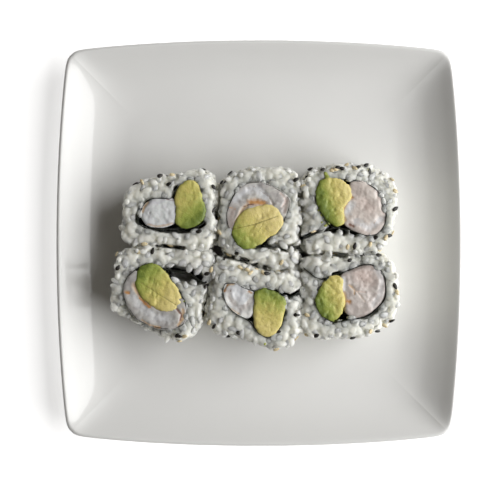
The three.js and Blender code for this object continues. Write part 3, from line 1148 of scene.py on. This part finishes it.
    def strays(self) -> tuple[np.ndarray, ...]:
        """The grains that lie across the seaweed.

        Returns:
            Their middles, rotation matrices, scale factors and distances from the seaweed.
        """
        count = len(self.cut.astray)
        middles = np.empty((count, 3))
        for middle, (x, y, _) in zip(middles, self.cut.astray):
            start = Vector((x * MM, y * MM, self.top - 1.5 * MM))
            found = self.nori_tree.find_nearest(start)[0]
            middle[:] = x * MM, y * MM, min(found.z + 0.3 * MM, self.top - 0.9 * MM)
        alongs = np.array([heading(angle) for _, _, angle in self.cut.astray]).reshape(-1, 3)
        up = np.tile((0.0, 0.0, 1.0), (count, 1))
        turns = frames_from(up, alongs, self.rng, math.radians(4))
        sizes = np.tile((0.82, 0.85, self.flatness), (count, 1))
        return middles, turns, sizes, np.full(count, 1.5 * MM)

    # -------------------------------------------------------------- seaweed

    def drawn_up(self) -> bmesh.types.BMesh:
        """The seaweed's outline, drawn up in steps from its lower edge to its upper one."""
        low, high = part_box(self.nori.name)
        shape = merged_bmesh(self.nori)
        bmesh.ops.bisect_plane(
            shape,
            geom=shape.verts[:] + shape.edges[:] + shape.faces[:],
            dist=0.001 * MM,
            plane_co=(0, 0, (low.z + high.z) / 2),
            plane_no=(0, 0, 1),
            clear_inner=True,
            clear_outer=True,
        )
        bmesh.ops.remove_doubles(shape, verts=shape.verts, dist=0.25 * MM)
        for vert in shape.verts:
            vert.co.z = low.z
        bmesh.ops.triangle_fill(shape, use_beauty=True, edges=shape.edges)
        rise = (high.z - low.z) / self.seaweed_steps
        faces = shape.faces[:]
        for _ in range(self.seaweed_steps):
            made = bmesh.ops.extrude_face_region(shape, geom=faces)["geom"]
            faces = [g for g in made if isinstance(g, bmesh.types.BMFace)]
            verts = [g for g in made if isinstance(g, bmesh.types.BMVert)]
            bmesh.ops.translate(shape, verts=verts, vec=(0, 0, rise))
        inside = [
            f for f in shape.faces
            if abs(f.normal.z) > 0.9
            and low.z + 0.1 * MM < f.calc_center_median().z < high.z - 0.1 * MM
        ]  # fmt: skip
        bmesh.ops.delete(shape, geom=inside, context="FACES_ONLY")
        bmesh.ops.recalc_face_normals(shape, faces=shape.faces)
        return shape

    def build_nori(self, finish: bpy.types.Material) -> None:
        """The seaweed: its outline drawn up, smoothed and a little crumpled."""
        low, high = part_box(self.nori.name)
        middle = (low.z + high.z) / 2
        piece = object_from_bmesh(self.drawn_up(), f"seaweed_{self.name}")
        reshape(piece, subsurf={"levels": 2, "render_levels": 2})
        points = read_rows(piece.data)
        points[:, :2] -= read_rows(piece.data, "normal")[:, :2] * self.seaweed_pared
        for i, point in enumerate(points):
            sway = noise.noise_vector(Vector(point) / (7 * MM) + Vector((self.number, 0, 0)))
            lift = max(0.0, (point[2] - middle) / (high.z - middle)) ** 3
            edge = noise.noise(Vector(point) / (4 * MM)) * self.seaweed_flutter * lift
            points[i] += (sway.x * self.seaweed_sway, sway.y * self.seaweed_sway, edge)
        points[:, 2] = np.maximum(points[:, 2], self.bottom)
        write_points(piece.data, points)
        finish_piece(piece, finish, "nori", self.nori.name)

    # -------------------------------------------------------------- fillings

    def soft_filling(
        self,
        node: bpy.types.Object,
        name: str,
        waviness: float,
        strokes: tuple[Stroke, ...],
        dip: float,
        crumble: float,
    ) -> bpy.types.Object:
        """A filling's solid with soft edges, an uneven cut face and streaks sunk into it.

        Args:
            node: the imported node.
            name: the new piece's name.
            waviness: how far the cut face wanders, in mm.
            strokes: the streaks on it.
            dip: how deep a streak lies, in mm.
            crumble: how far its edges and its cut face have broken up, in mm.

        Returns:
            The new object.
        """
        piece = object_from_bmesh(merged_bmesh(node), name)
        relax = {"iterations": 7, "factor": 0.5}
        reshape(piece, remesh={"mode": "VOXEL", "voxel_size": self.voxel}, smooth=relax)
        points, normals = read_rows(piece.data), read_rows(piece.data, "normal")
        waves = waver(points, feature_mm=5, octaves=3)
        frill = waver(points, feature_mm=2, octaves=2)
        upper = np.clip(normals[:, 2], 0, 1)
        slant = 4 * upper * (1 - upper)
        reach = self.swell + self.brim * slant + crumble * MM * frill
        points[:, :2] += normals[:, :2] * reach[:, None]
        rise = upper * (waves * waviness - 0.2) + slant * 0.3
        rise += upper * crumble * np.minimum(frill, 0)
        gap = np.full(len(points), UNMARKED)
        stain_and_painted_light = np.tile(linear(StainAndPaintedLight.SHADE.value), (len(points), 1))
        for stroke in strokes:
            there = gap_to(points, stroke.path) / (stroke.width * MM / 2)
            nearer = there < gap
            gap[nearer] = there[nearer]
            stain_and_painted_light[nearer] = (*linear(stroke.stain_and_painted_light.value)[:3], stroke.strength)
        rise -= np.clip(1.6 - gap, 0, 1) * upper * dip
        low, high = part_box(node.name)
        points[:, 2] = np.clip(points[:, 2] + rise * MM, low.z, high.z)
        write_points(piece.data, points)
        paint(piece.data, "gap", gap)
        layer = piece.data.attributes.new("stain_and_painted_light", "FLOAT_COLOR", "POINT")
        layer.data.foreach_set("color", stain_and_painted_light.astype(np.float32).ravel())
        return piece

    def build_avocado(self, finish: bpy.types.Material) -> bpy.types.Object:
        """The avocado, green on its skin side and yellow by the stone."""
        node, cut = self.packed("avocado"), self.cut
        name = f"avocado_wedge_{self.name}"
        piece = self.soft_filling(node, name, 0.3, cut.fibres, dip=0.15, crumble=cut.crumble)
        skin, stone = (np.array(p) * MM for p in (cut.skin_side, cut.stone_side))
        along = skin - stone
        share = (read_rows(piece.data)[:, :2] - stone) @ along / (along @ along)
        green = cut.greenness
        paint(piece.data, "skinward", green + (1 - green) * np.clip(share, 0, 1) ** 1.5)
        finish_piece(piece, finish, "avocado", node.name)
        return piece

    def build_prawn(self) -> bpy.types.Object:
        """The prawn, with streaks of orange skin where it shows at the cut."""
        node, cut = self.packed("prawn"), self.cut
        name = f"prawn_strip_{self.name}"
        piece = self.soft_filling(node, name, 0.45, cut.strokes, dip=0.35, crumble=0.15)
        finish = BoiledPrawn(f"boiled prawn {self.name}", cut.flesh, cut.shade)
        finish_piece(piece, finish.material(), "prawn", node.name)
        return piece


# ------------------------------------------------------------------ seeds and crumbs


@dataclass
class Sprinkling:
    """Sesame seeds on all the pieces: some at known places, others anywhere on the walls."""

    kind: Sesame
    finish: SeedHull
    view: Overhead
    seed: Grain = Grain(3.2 * MM, 1.9 * MM, bend=0.0, thickness=0.88 / 1.9, taper=0.32)
    lift: float = 0.4 * MM  # how far the middle of a seed lies over the rice
    top_clearance: float = 0.75 * MM  # how far under the piece's top it stays
    walls_from: float = 3 * MM  # how far from the seaweed and the top the walls' seeds lie
    wall_spacing: float = 3 * MM
    on_walls: int = 9
    tries: int = 400
    deepest: float = 12 * MM  # what is further under the top than this is too deep for a seed
    ledge: float = 4 * MM  # how far under the top such a seed rests instead

    def build(self, pieces: list[Piece], surface: BVHTree) -> None:
        """Lays the seeds on the rice.

        Args:
            pieces: the pieces of the roll.
            surface: the rice's outside, with its grains.
        """
        rng = np.random.default_rng(7 if self.kind is Sesame.BLACK else 8)
        laid: list[tuple[Vector, Vector, Vector]] = []
        for piece in pieces:
            for x, y, angle in getattr(piece.cut, self.kind.value):
                laid.append((*self.rested(x, y, piece, surface), heading(angle)))
            walls = self.wall_places(piece, rng)
            laid += [(*place, Vector(rng.normal(0, 1, 3))) for place in walls]
        places, normals, alongs = (np.array(column) for column in zip(*laid))
        turns = frames_from(normals, alongs, rng, math.radians(6))
        sizes = rng.normal(1, 0.07, (len(places), 3))
        tones = rng.random(len(places))
        seeds = self.seed.copies(f"{self.kind.value}_sesame", places, turns, sizes, tones)
        finish_piece(seeds, self.finish.material(), "rice")

    def rested(self, x: float, y: float, piece: Piece, surface: BVHTree) -> tuple[Vector, Vector]:
        """Where a seed that the eye sees at a place rests.

        Args:
            x: the place's first number, in mm.
            y: its second number.
            piece: the piece of the roll that carries it.
            surface: the rice's outside, with its grains.

        Returns:
            The seed's middle, and the direction away from the rice.
        """
        eye = self.view.eye
        ray = self.view.towards(x, y, piece.top)
        point, normal, _, _ = surface.ray_cast(eye, ray)
        if not point or point.z < piece.top - self.deepest:
            beside = eye + ray * ((piece.top - self.ledge - self.view.height) / ray.z)
            point, normal, _, _ = surface.find_nearest(beside)
            normal = normal.normalized()
        else:
            normal = (normal + Vector((0, 0, 1))).normalized()
        place = point + normal * self.lift
        place.z = min(place.z, piece.top - self.top_clearance)
        return place, normal

    def wall_places(
        self, piece: Piece, rng: np.random.Generator
    ) -> list[tuple[Vector, Vector]]:
        """Random places on a piece's outer wall, where no cut face shows.

        Args:
            piece: the piece of the roll.
            rng: the source of random numbers.

        Returns:
            The places, each with the direction away from the wall.
        """
        points, normals = (a[: self.tries] for a in scattered(piece.rice, rng, self.wall_spacing))
        outer = (np.abs(normals[:, 2]) < 0.4) & (piece.from_nori(points)[0] > self.walls_from)
        outer &= points[:, 2] < piece.top - self.walls_from
        chosen = np.flatnonzero(outer)[: self.on_walls]
        proud = points + normals * 0.1 * MM
        return [(Vector(proud[i]), Vector(normals[i])) for i in chosen]


@dataclass
class Crumbs:
    """Specks and shreds of avocado that the knife dragged onto the rice and the prawn."""

    view: Overhead
    shred: Grain = Grain(1.0 * MM, 0.9 * MM, bend=0.2)
    slimness: float = 0.6  # the power of its length that a crumb's width grows with
    flatness: float = 0.7
    greenness: float = 0.72
    top_clearance: float = 0.9 * MM

    def build(
        self, pieces: list[Piece], surface: BVHTree, finish: bpy.types.Material
    ) -> None:
        """Lays the crumbs on whatever is under them.

        Args:
            pieces: the pieces of the roll.
            surface: everything that a crumb can lie on.
            finish: the avocado's material.
        """
        rng = np.random.default_rng(9)
        laid = []
        for piece in pieces:
            for x, y, length, turn in piece.cut.crumbs:
                ray = self.view.towards(x, y, piece.top)
                point, normal, _, _ = surface.ray_cast(self.view.eye, ray)
                if point:
                    point.z = min(point.z, piece.top - self.top_clearance)
                    facing = (normal + Vector((0, 0, 2))).normalized()
                    laid.append((point, facing, heading(turn), (length,)))
        places, normals, alongs, lengths = (np.array(column) for column in zip(*laid))
        sizes = rng.uniform(0.85, 1.15, (len(laid), 3)) * (1, 1, self.flatness)
        sizes[:, :1] *= lengths
        sizes[:, 1:] *= lengths**self.slimness
        turns = frames_from(normals, alongs, rng, 0.1)
        tones = rng.random(len(laid))
        crumbs = self.shred.copies("avocado_crumbs", places, turns, sizes, tones)
        paint(crumbs.data, "skinward", self.greenness)
        paint(crumbs.data, "gap", UNMARKED)
        finish_piece(crumbs, finish, "avocado")


# ------------------------------------------------------------------ what each cut shows

ROWS_APART_LEFT = Opening(0.65, ((-50.6, -1), (-44, -1.7), (-37.3, -2.6)))
ROWS_APART_MIDDLE = Opening(
    1.0, ((-21, -4.8), (-15, -6.7), (-7.4, -8.5), (-2, -10.8), (4, -12.5))
)
ROWS_APART_RIGHT = Opening(0.9, ((35.5, -5.3), (42, -6.2)))

BACK_LEFT_CUT = Cut(
    Spot.BACK_LEFT,
    skin_side=(-29.5, 12),
    stone_side=(-38, 22),
    greenness=0.38,
    crumble=0.25,
    flesh="#D6D9D7",
    shade="#C9C8CC",
    strokes=(
        Stroke(StainAndPaintedLight.PEACH, 1.3, ((-54.5, 19.5), (-56.3, 17.5), (-57, 15)), 0.9),
        Stroke(StainAndPaintedLight.PEACH, 0.9, ((-54.5, 9), (-50.5, 8), (-46, 8.5), (-42.5, 9.5)), 0.6),
        Stroke(StainAndPaintedLight.RUST, 0.4, ((-45.5, 21), (-41.5, 20.5))),
        Stroke(StainAndPaintedLight.SPECK, 0.5, ((-53.5, 15), (-53.5, 14))),
    ),
    openings=(
        *holes((-57.8, 12, 2.3), (-40, 26, 1.6)),
        Opening(0.95, ((-54, 8), (-49, 6.5), (-44, 6), (-38, 5.8), (-32, 6.5), (-27.5, 9.5))),
        ROWS_APART_LEFT,
    ),
    astray=((-58, 18, 75), (-58.5, 14.5, 100), (-33.5, 31, 0), (-30.5, 31, 10)),
    crumbs=((-38, 25.5, 1.6, -50),),
    black=(
        (-60.5, 28.5, 0), (-58.5, 30, 50), (-48.5, 32.5, 25), (-27.5, 36, -10),
        (-44, 28.5, 20), (-22.5, 27, -50), (-22.5, 16, 55), (-21.5, 12, 30),
        (-29.5, 5.5, 10), (-52, -4, 80),
    ),
    toasted=(
        (-57, 29.5, -60), (-42.5, 33, 0), (-56, -0.5, 0), (-43.5, -1, -30),
        (-19.5, 11.5, 80), (-19.5, 5, -50),
    ),
)

BACK_MIDDLE_CUT = Cut(
    Spot.BACK_MIDDLE,
    skin_side=(-11, -1),
    stone_side=(4, 15),
    greenness=0.0,
    crumble=0.3,
    flesh="#C7C5BF",
    shade="#A8A3A1",
    strokes=(
        Stroke(StainAndPaintedLight.SHADE, 3.5, ((-12.8, 16), (-13.8, 11.5), (-13.8, 6)), 0.8),
        Stroke(StainAndPaintedLight.PEACH, 1.8, ((-12.3, 9.5), (-10.3, 12.5), (-8.3, 16), (-6, 18.6)), 0.8),
        Stroke(StainAndPaintedLight.ORANGE, 3.0, ((-4.5, 19.6), (-1, 19.8), (2, 19.4))),
        Stroke(StainAndPaintedLight.RUST, 1.0, ((-7.5, 17.6), (-5, 18.8), (-3, 18.6))),
        Stroke(StainAndPaintedLight.PEACH, 0.7, ((1, 17.5), (5.5, 18))),
        Stroke(StainAndPaintedLight.ORANGE, 0.8, ((-14.5, 17), (-12, 16.5))),
        Stroke(StainAndPaintedLight.PINK, 0.9, ((10, 24), (12, 22), (12.5, 20), (11, 17.5))),
        Stroke(StainAndPaintedLight.SHADE, 1.8, ((13, 21.5), (13, 18), (12, 15))),
        Stroke(StainAndPaintedLight.SHADE, 0.7, ((-3, 27.5), (4.5, 22.5), (6.5, 18.5))),
        Stroke(StainAndPaintedLight.MILK, 3.5, ((-12, 21), (-7, 25), (-1.5, 26.5), (3, 22)), 0.7),
    ),
    fibres=(
        Stroke(StainAndPaintedLight.FIBRE, 0.5, ((9, 13), (2, 10.5), (-2, 9), (-13.5, 6.5))),
        Stroke(StainAndPaintedLight.FIBRE, 0.3, ((2, 10), (-1, 5))),
    ),
    openings=(
        *holes((-2, -0.5, 1.5), (1.5, -0.5, 1.7)),
        Opening(1.9, ((-2, -0.6), (4, -0.6))),
        Opening(1.4, ((4, -0.6), (9, -2.3), (13.6, -2.7), (17.8, -2), (21, -3.6))),
        ROWS_APART_MIDDLE,
    ),
    astray=((-11, 26, 60), (-8.5, 28, 20), (2, 28.5, -70)),
    black=(
        (-14.5, 34, 40), (-19, 30.5, -60), (17.5, 30.5, 30), (-11, -5, 40), (-7, -8.5, -80),
    ),
    toasted=((21, 27.5, 0), (-15, -5.5, -30), (8.5, -13.5, -20), (10.5, -9.5, 60)),
)

BACK_RIGHT_CUT = Cut(
    Spot.BACK_RIGHT,
    skin_side=(31, 18),
    stone_side=(42, 21.5),
    greenness=0.15,
    crumble=0.5,
    flesh="#D8CFC7",
    shade="#BDB1AA",
    strokes=(
        Stroke(StainAndPaintedLight.ORANGE, 1.8, ((43.2, 22.3), (44.6, 21.9))),
        Stroke(StainAndPaintedLight.PEACH, 1.3, ((42.5, 19.5), (40.6, 16), (40.4, 13), (41.5, 11)), 0.8),
        Stroke(StainAndPaintedLight.PINK, 0.6, ((44.5, 21.5), (46.5, 21))),
        Stroke(StainAndPaintedLight.RUST, 1.3, ((43.5, 9), (45.5, 8))),
        Stroke(StainAndPaintedLight.PINK, 2.2, ((57.5, 24), (59, 21.5), (60, 18), (60, 15)), 0.7),
        Stroke(StainAndPaintedLight.ORANGE, 0.6, ((56, 10.5), (55.5, 9.5))),
        Stroke(StainAndPaintedLight.PEACH, 0.8, ((42.5, 28.5), (43, 27))),
        Stroke(StainAndPaintedLight.SHADE, 4.0, ((45.5, 25.5), (49, 24)), 0.5),
        Stroke(StainAndPaintedLight.PINK, 6.0, ((51, 19), (53, 17)), 0.4),
        Stroke(StainAndPaintedLight.MILK, 3.0, ((46.5, 10.5), (53, 7), (59, 11.5)), 0.6),
        Stroke(StainAndPaintedLight.MILK, 3.5, ((44.5, 18.5), (42.5, 15)), 0.7),
    ),
    openings=(
        *holes((36, 6.5, 1.4), (41, 5.5, 1.5), (46, 5, 1.5), (51, 5, 1.5), (55.5, 5.5, 1.3)),
        Opening(0.6, ((37.5, 7), (29.5, 6), (25, 4.3), (21, 2.5))),
        ROWS_APART_RIGHT,
    ),
    astray=(
        (52, 28, 30), (55.5, 26.5, -30), (58.5, 23.5, -50), (60, 20, -80), (60.5, 16.5, 90),
        (30, 29.5, 50),
    ),
    crumbs=(
        (33, 30.8, 5.5, 110), (32, 33, 3.2, 105), (34.5, 29.5, 3.5, 130),
        (39, 10.6, 5, -25), (36.5, 11, 3, -60), (28.5, 16, 1.8, -60), (30, 13.5, 1.7, -50),
        (31.5, 11.2, 2, -45), (33, 9.5, 2.6, -30), (30, 10, 1.3, 0), (31.8, 8.3, 2, 20),
        (25.5, 5.5, 1.5, 0),
    ),
    black=(
        (24.5, 35.5, 15), (23, 32, 60), (30.5, 35.5, 20), (38, 36.5, 0), (40, 36, -20),
        (47.5, 36.5, 20), (51.5, 37.5, 35), (53, 34.5, 90), (65.5, 16.5, 30),
        (62.5, 3.5, 0), (56, 2.5, 20), (46, -1.5, 75), (35, 6, 80), (49.5, -6, 0),
        (57.5, -6, 0),
    ),
    toasted=(
        (35, 35, -10), (37, 35.5, 0), (42, 37.5, 50), (46, 36, -30), (64, 31, -60),
        (65.5, 25, -30), (64.5, 4.5, 30), (61, 2.5, 60), (42.5, -2, 85), (53.5, -0.5, 75),
        (57.5, -3.5, 0), (36.5, -5, -20), (26, 5.5, 0),
    ),
)

FRONT_LEFT_CUT = Cut(
    Spot.FRONT_LEFT,
    skin_side=(-58.5, -14),
    stone_side=(-40.5, -30),
    greenness=0.05,
    crumble=0.45,
    flesh="#B6B4AF",
    shade="#9F9B99",
    strokes=(
        Stroke(StainAndPaintedLight.ORANGE, 1.6, ((-65, -24), (-63.5, -24.5))),
        Stroke(StainAndPaintedLight.PEACH, 2.2, ((-61.2, -20.5), (-59.6, -24), (-57.2, -27.5)), 0.85),
        Stroke(StainAndPaintedLight.ORANGE, 2.2, ((-58, -26.8), (-56.2, -29), (-53.8, -31))),
        Stroke(StainAndPaintedLight.RUST, 1.0, ((-41.5, -31), (-39.7, -33), (-38, -35), (-38.8, -38))),
        Stroke(StainAndPaintedLight.PEACH, 1.4, ((-37.5, -32.5), (-37, -36), (-39.5, -40))),
        Stroke(StainAndPaintedLight.PEACH, 0.7, ((-57.5, -37.5), (-53.5, -40), (-48.5, -41))),
        Stroke(StainAndPaintedLight.ORANGE, 0.9, ((-51, -41), (-48.5, -41.5))),
        Stroke(StainAndPaintedLight.SHADE, 1.6, ((-55.5, -28), (-50.5, -31.5), (-44, -33)), 0.8),
        Stroke(StainAndPaintedLight.MILK, 4.0, ((-62, -26), (-57, -32), (-50.5, -36.5), (-44, -37)), 0.45),
    ),
    fibres=(
        Stroke(StainAndPaintedLight.FIBRE, 0.5, ((-57.5, -19.5), (-49, -25), (-41, -30))),
        Stroke(StainAndPaintedLight.FIBRE, 0.3, ((-52.5, -22.5), (-51, -17))),
    ),
    openings=(
        Opening(2.8, ((-43.5, -14), (-39.6, -15.4), (-35, -15.8), (-31.5, -17))),
        Opening(1.3, ((-31, -17), (-27.5, -18.5))),
        ROWS_APART_LEFT,
    ),
    astray=((-36.5, -31.5, 85), (-36, -36, 95)),
    crumbs=((-37.8, -26.6, 2.6, -60), (-37, -28.5, 1.8, 20)),
    black=(
        (-69, -12, 60), (-25.5, -15, 15), (-26.5, -21.5, 60), (-26, -29.5, 50),
        (-27.5, -34.5, 85), (-39, -45.5, 0), (-40, -45, 40),
    ),
    toasted=((-71, -6, 50), (-58.5, -4.5, 20), (-36.5, -45.5, 10), (-39, -48, 10)),
)

FRONT_MIDDLE_CUT = Cut(
    Spot.FRONT_MIDDLE,
    skin_side=(6, -23),
    stone_side=(1.5, -41.5),
    greenness=0.12,
    crumble=0.4,
    flesh="#E6E6E2",
    shade="#B9BABC",
    strokes=(
        Stroke(StainAndPaintedLight.MILK, 6.0, ((-10.5, -25), (-8, -27)), 0.8),
        Stroke(StainAndPaintedLight.SHADE, 2.5, ((-15, -23.5), (-14.5, -27), (-12, -30)), 0.45),
        Stroke(StainAndPaintedLight.SHADE, 3.2, ((-9.5, -32), (-6.5, -31), (-4.5, -28)), 0.5),
        Stroke(StainAndPaintedLight.ORANGE, 1.2, ((-17, -23.5), (-16.5, -21.5), (-15.5, -20.5))),
        Stroke(StainAndPaintedLight.PEACH, 0.8, ((-15.5, -20.5), (-12.5, -20))),
        Stroke(StainAndPaintedLight.PEACH, 0.7, ((-14, -32), (-9.5, -35))),
        Stroke(StainAndPaintedLight.ORANGE, 0.8, ((-5.5, -23.5), (-4, -24.5))),
        Stroke(StainAndPaintedLight.SPECK, 0.4, ((-14, -23), (-14.5, -24.5))),
    ),
    openings=(
        *holes((11.5, -34, 1.1), (11.5, -36.5, 1.1)),
        Opening(0.9, ((8, -24), (11, -25), (15, -26.3), (20, -23.5))),
        ROWS_APART_MIDDLE,
    ),
    astray=((12.5, -27.5, 90), (12, -31, 85)),
    crumbs=((2.5, -49, 1.6, 60), (1.5, -50.5, 1.4, 20)),
    black=(
        (3.5, -15, 0), (-22, -40.5, 50), (-10.5, -43.5, -60), (-15.5, -45, 0), (9, -43, 0),
        (18, -35, 0), (5, -45, 10),
    ),
    toasted=(
        (-9.5, -12, -30), (-6, -13, -40), (-4.5, -14.5, 40), (1.5, -14.5, -60),
        (-23.5, -13, 80), (18.5, -46.5, 80), (8, -51.5, 20), (-24.5, -38.5, 60),
    ),
)

FRONT_RIGHT_CUT = Cut(
    Spot.FRONT_RIGHT,
    skin_side=(28.5, -29),
    stone_side=(40, -24),
    greenness=0.25,
    crumble=0.6,
    flesh="#CCC4BE",
    shade="#B0A59F",
    strokes=(
        Stroke(StainAndPaintedLight.ORANGE, 2.0, ((41.9, -28.2), (43.4, -28.8))),
        Stroke(StainAndPaintedLight.PEACH, 1.5, ((41, -24.5), (41.6, -28), (40.6, -32))),
        Stroke(StainAndPaintedLight.PINK, 8.0, ((49, -15), (52.5, -17.5)), 0.6),
        Stroke(StainAndPaintedLight.MILK, 2.6, ((57, -13), (59.5, -18.5), (58.5, -25.5), (55, -30)), 0.4),
        Stroke(StainAndPaintedLight.SHADE, 3.0, ((46, -13), (50, -11.5), (54, -11.8)), 0.7),
        Stroke(StainAndPaintedLight.MILK, 2.0, ((41, -17.5), (41.5, -22.5)), 0.7),
        Stroke(StainAndPaintedLight.RUST, 1.2, ((40.5, -33), (41.5, -34)), 0.5),
        Stroke(StainAndPaintedLight.PEACH, 0.7, ((43.5, -20.5), (46, -23), (46, -25))),
        Stroke(StainAndPaintedLight.SHADE, 1.2, ((48.5, -15.5), (50.5, -19))),
        Stroke(StainAndPaintedLight.PEACH, 0.6, ((44.5, -20.5), (51, -28.5)), 0.4),
        Stroke(StainAndPaintedLight.PINK, 0.7, ((46.5, -23.5), (51.5, -24))),
    ),
    openings=(
        *holes((35.5, -38, 1.2)),
        Opening(0.8, ((36, -15.5), (41, -14.5))),
        Opening(1.7, ((50.5, -35), (53, -34), (55.5, -32.5))),
        ROWS_APART_RIGHT,
    ),
    astray=((32, -35.5, 60), (32.5, -38.5, 30), (44.5, -36.5, 0), (46, -38, 20)),
    crumbs=((35.3, -37.3, 2.4, -60), (36.8, -35.8, 2, 0), (33.8, -35.2, 1.8, 40)),
    black=(
        (43.5, -8.5, 30), (65.5, -21, -65), (64.5, -39, 50), (57.5, -44, 15),
        (45.5, -47, 0), (27.5, -45, 20),
    ),
    toasted=(
        (66.5, -24, -70), (53.5, -43, 40), (23, -35, -20), (23, -44.5, 0), (60.5, -40, -30),
    ),
)

CUTS = (
    BACK_LEFT_CUT,
    BACK_MIDDLE_CUT,
    BACK_RIGHT_CUT,
    FRONT_LEFT_CUT,
    FRONT_MIDDLE_CUT,
    FRONT_RIGHT_CUT,
)


def main() -> None:
    """Builds the studio, the plate, the six pieces, their seeds and the crumbs."""
    logging.basicConfig(level=logging.INFO, format="%(message)s")
    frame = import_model()

    view = Overhead()
    view.stand()
    studio = Studio()
    studio.hang_window()
    studio.fill_room()
    studio.lay_floor()
    bpy.context.scene.view_settings.view_transform = "Standard"

    noise.seed_set(NOISE_SEED)
    Plate().build()
    steamed_rice = SteamedRice().material()
    roasted_nori = RoastedNori().material()
    ripe_avocado = RipeAvocado().material()
    pieces = [Piece(cut, frame) for cut in CUTS]
    rice, fillings = [], []
    for piece in pieces:
        rice += [piece.build_mass(steamed_rice), piece.build_grains(steamed_rice)]
        piece.build_nori(roasted_nori)
        fillings += [piece.build_avocado(ripe_avocado), piece.build_prawn()]
    surface = tree_of(*rice)
    black = SeedHull("black sesame hull", "#15130F", "#2C2821")
    toasted = SeedHull("toasted sesame hull", "#DFD6B6", "#C2A877")
    Sprinkling(Sesame.BLACK, black, view).build(pieces, surface)
    Sprinkling(Sesame.TOASTED, toasted, view).build(pieces, surface)
    Crumbs(view).build(pieces, tree_of(*rice, *fillings), ripe_avocado)


if __name__ == "__main__":
    main()
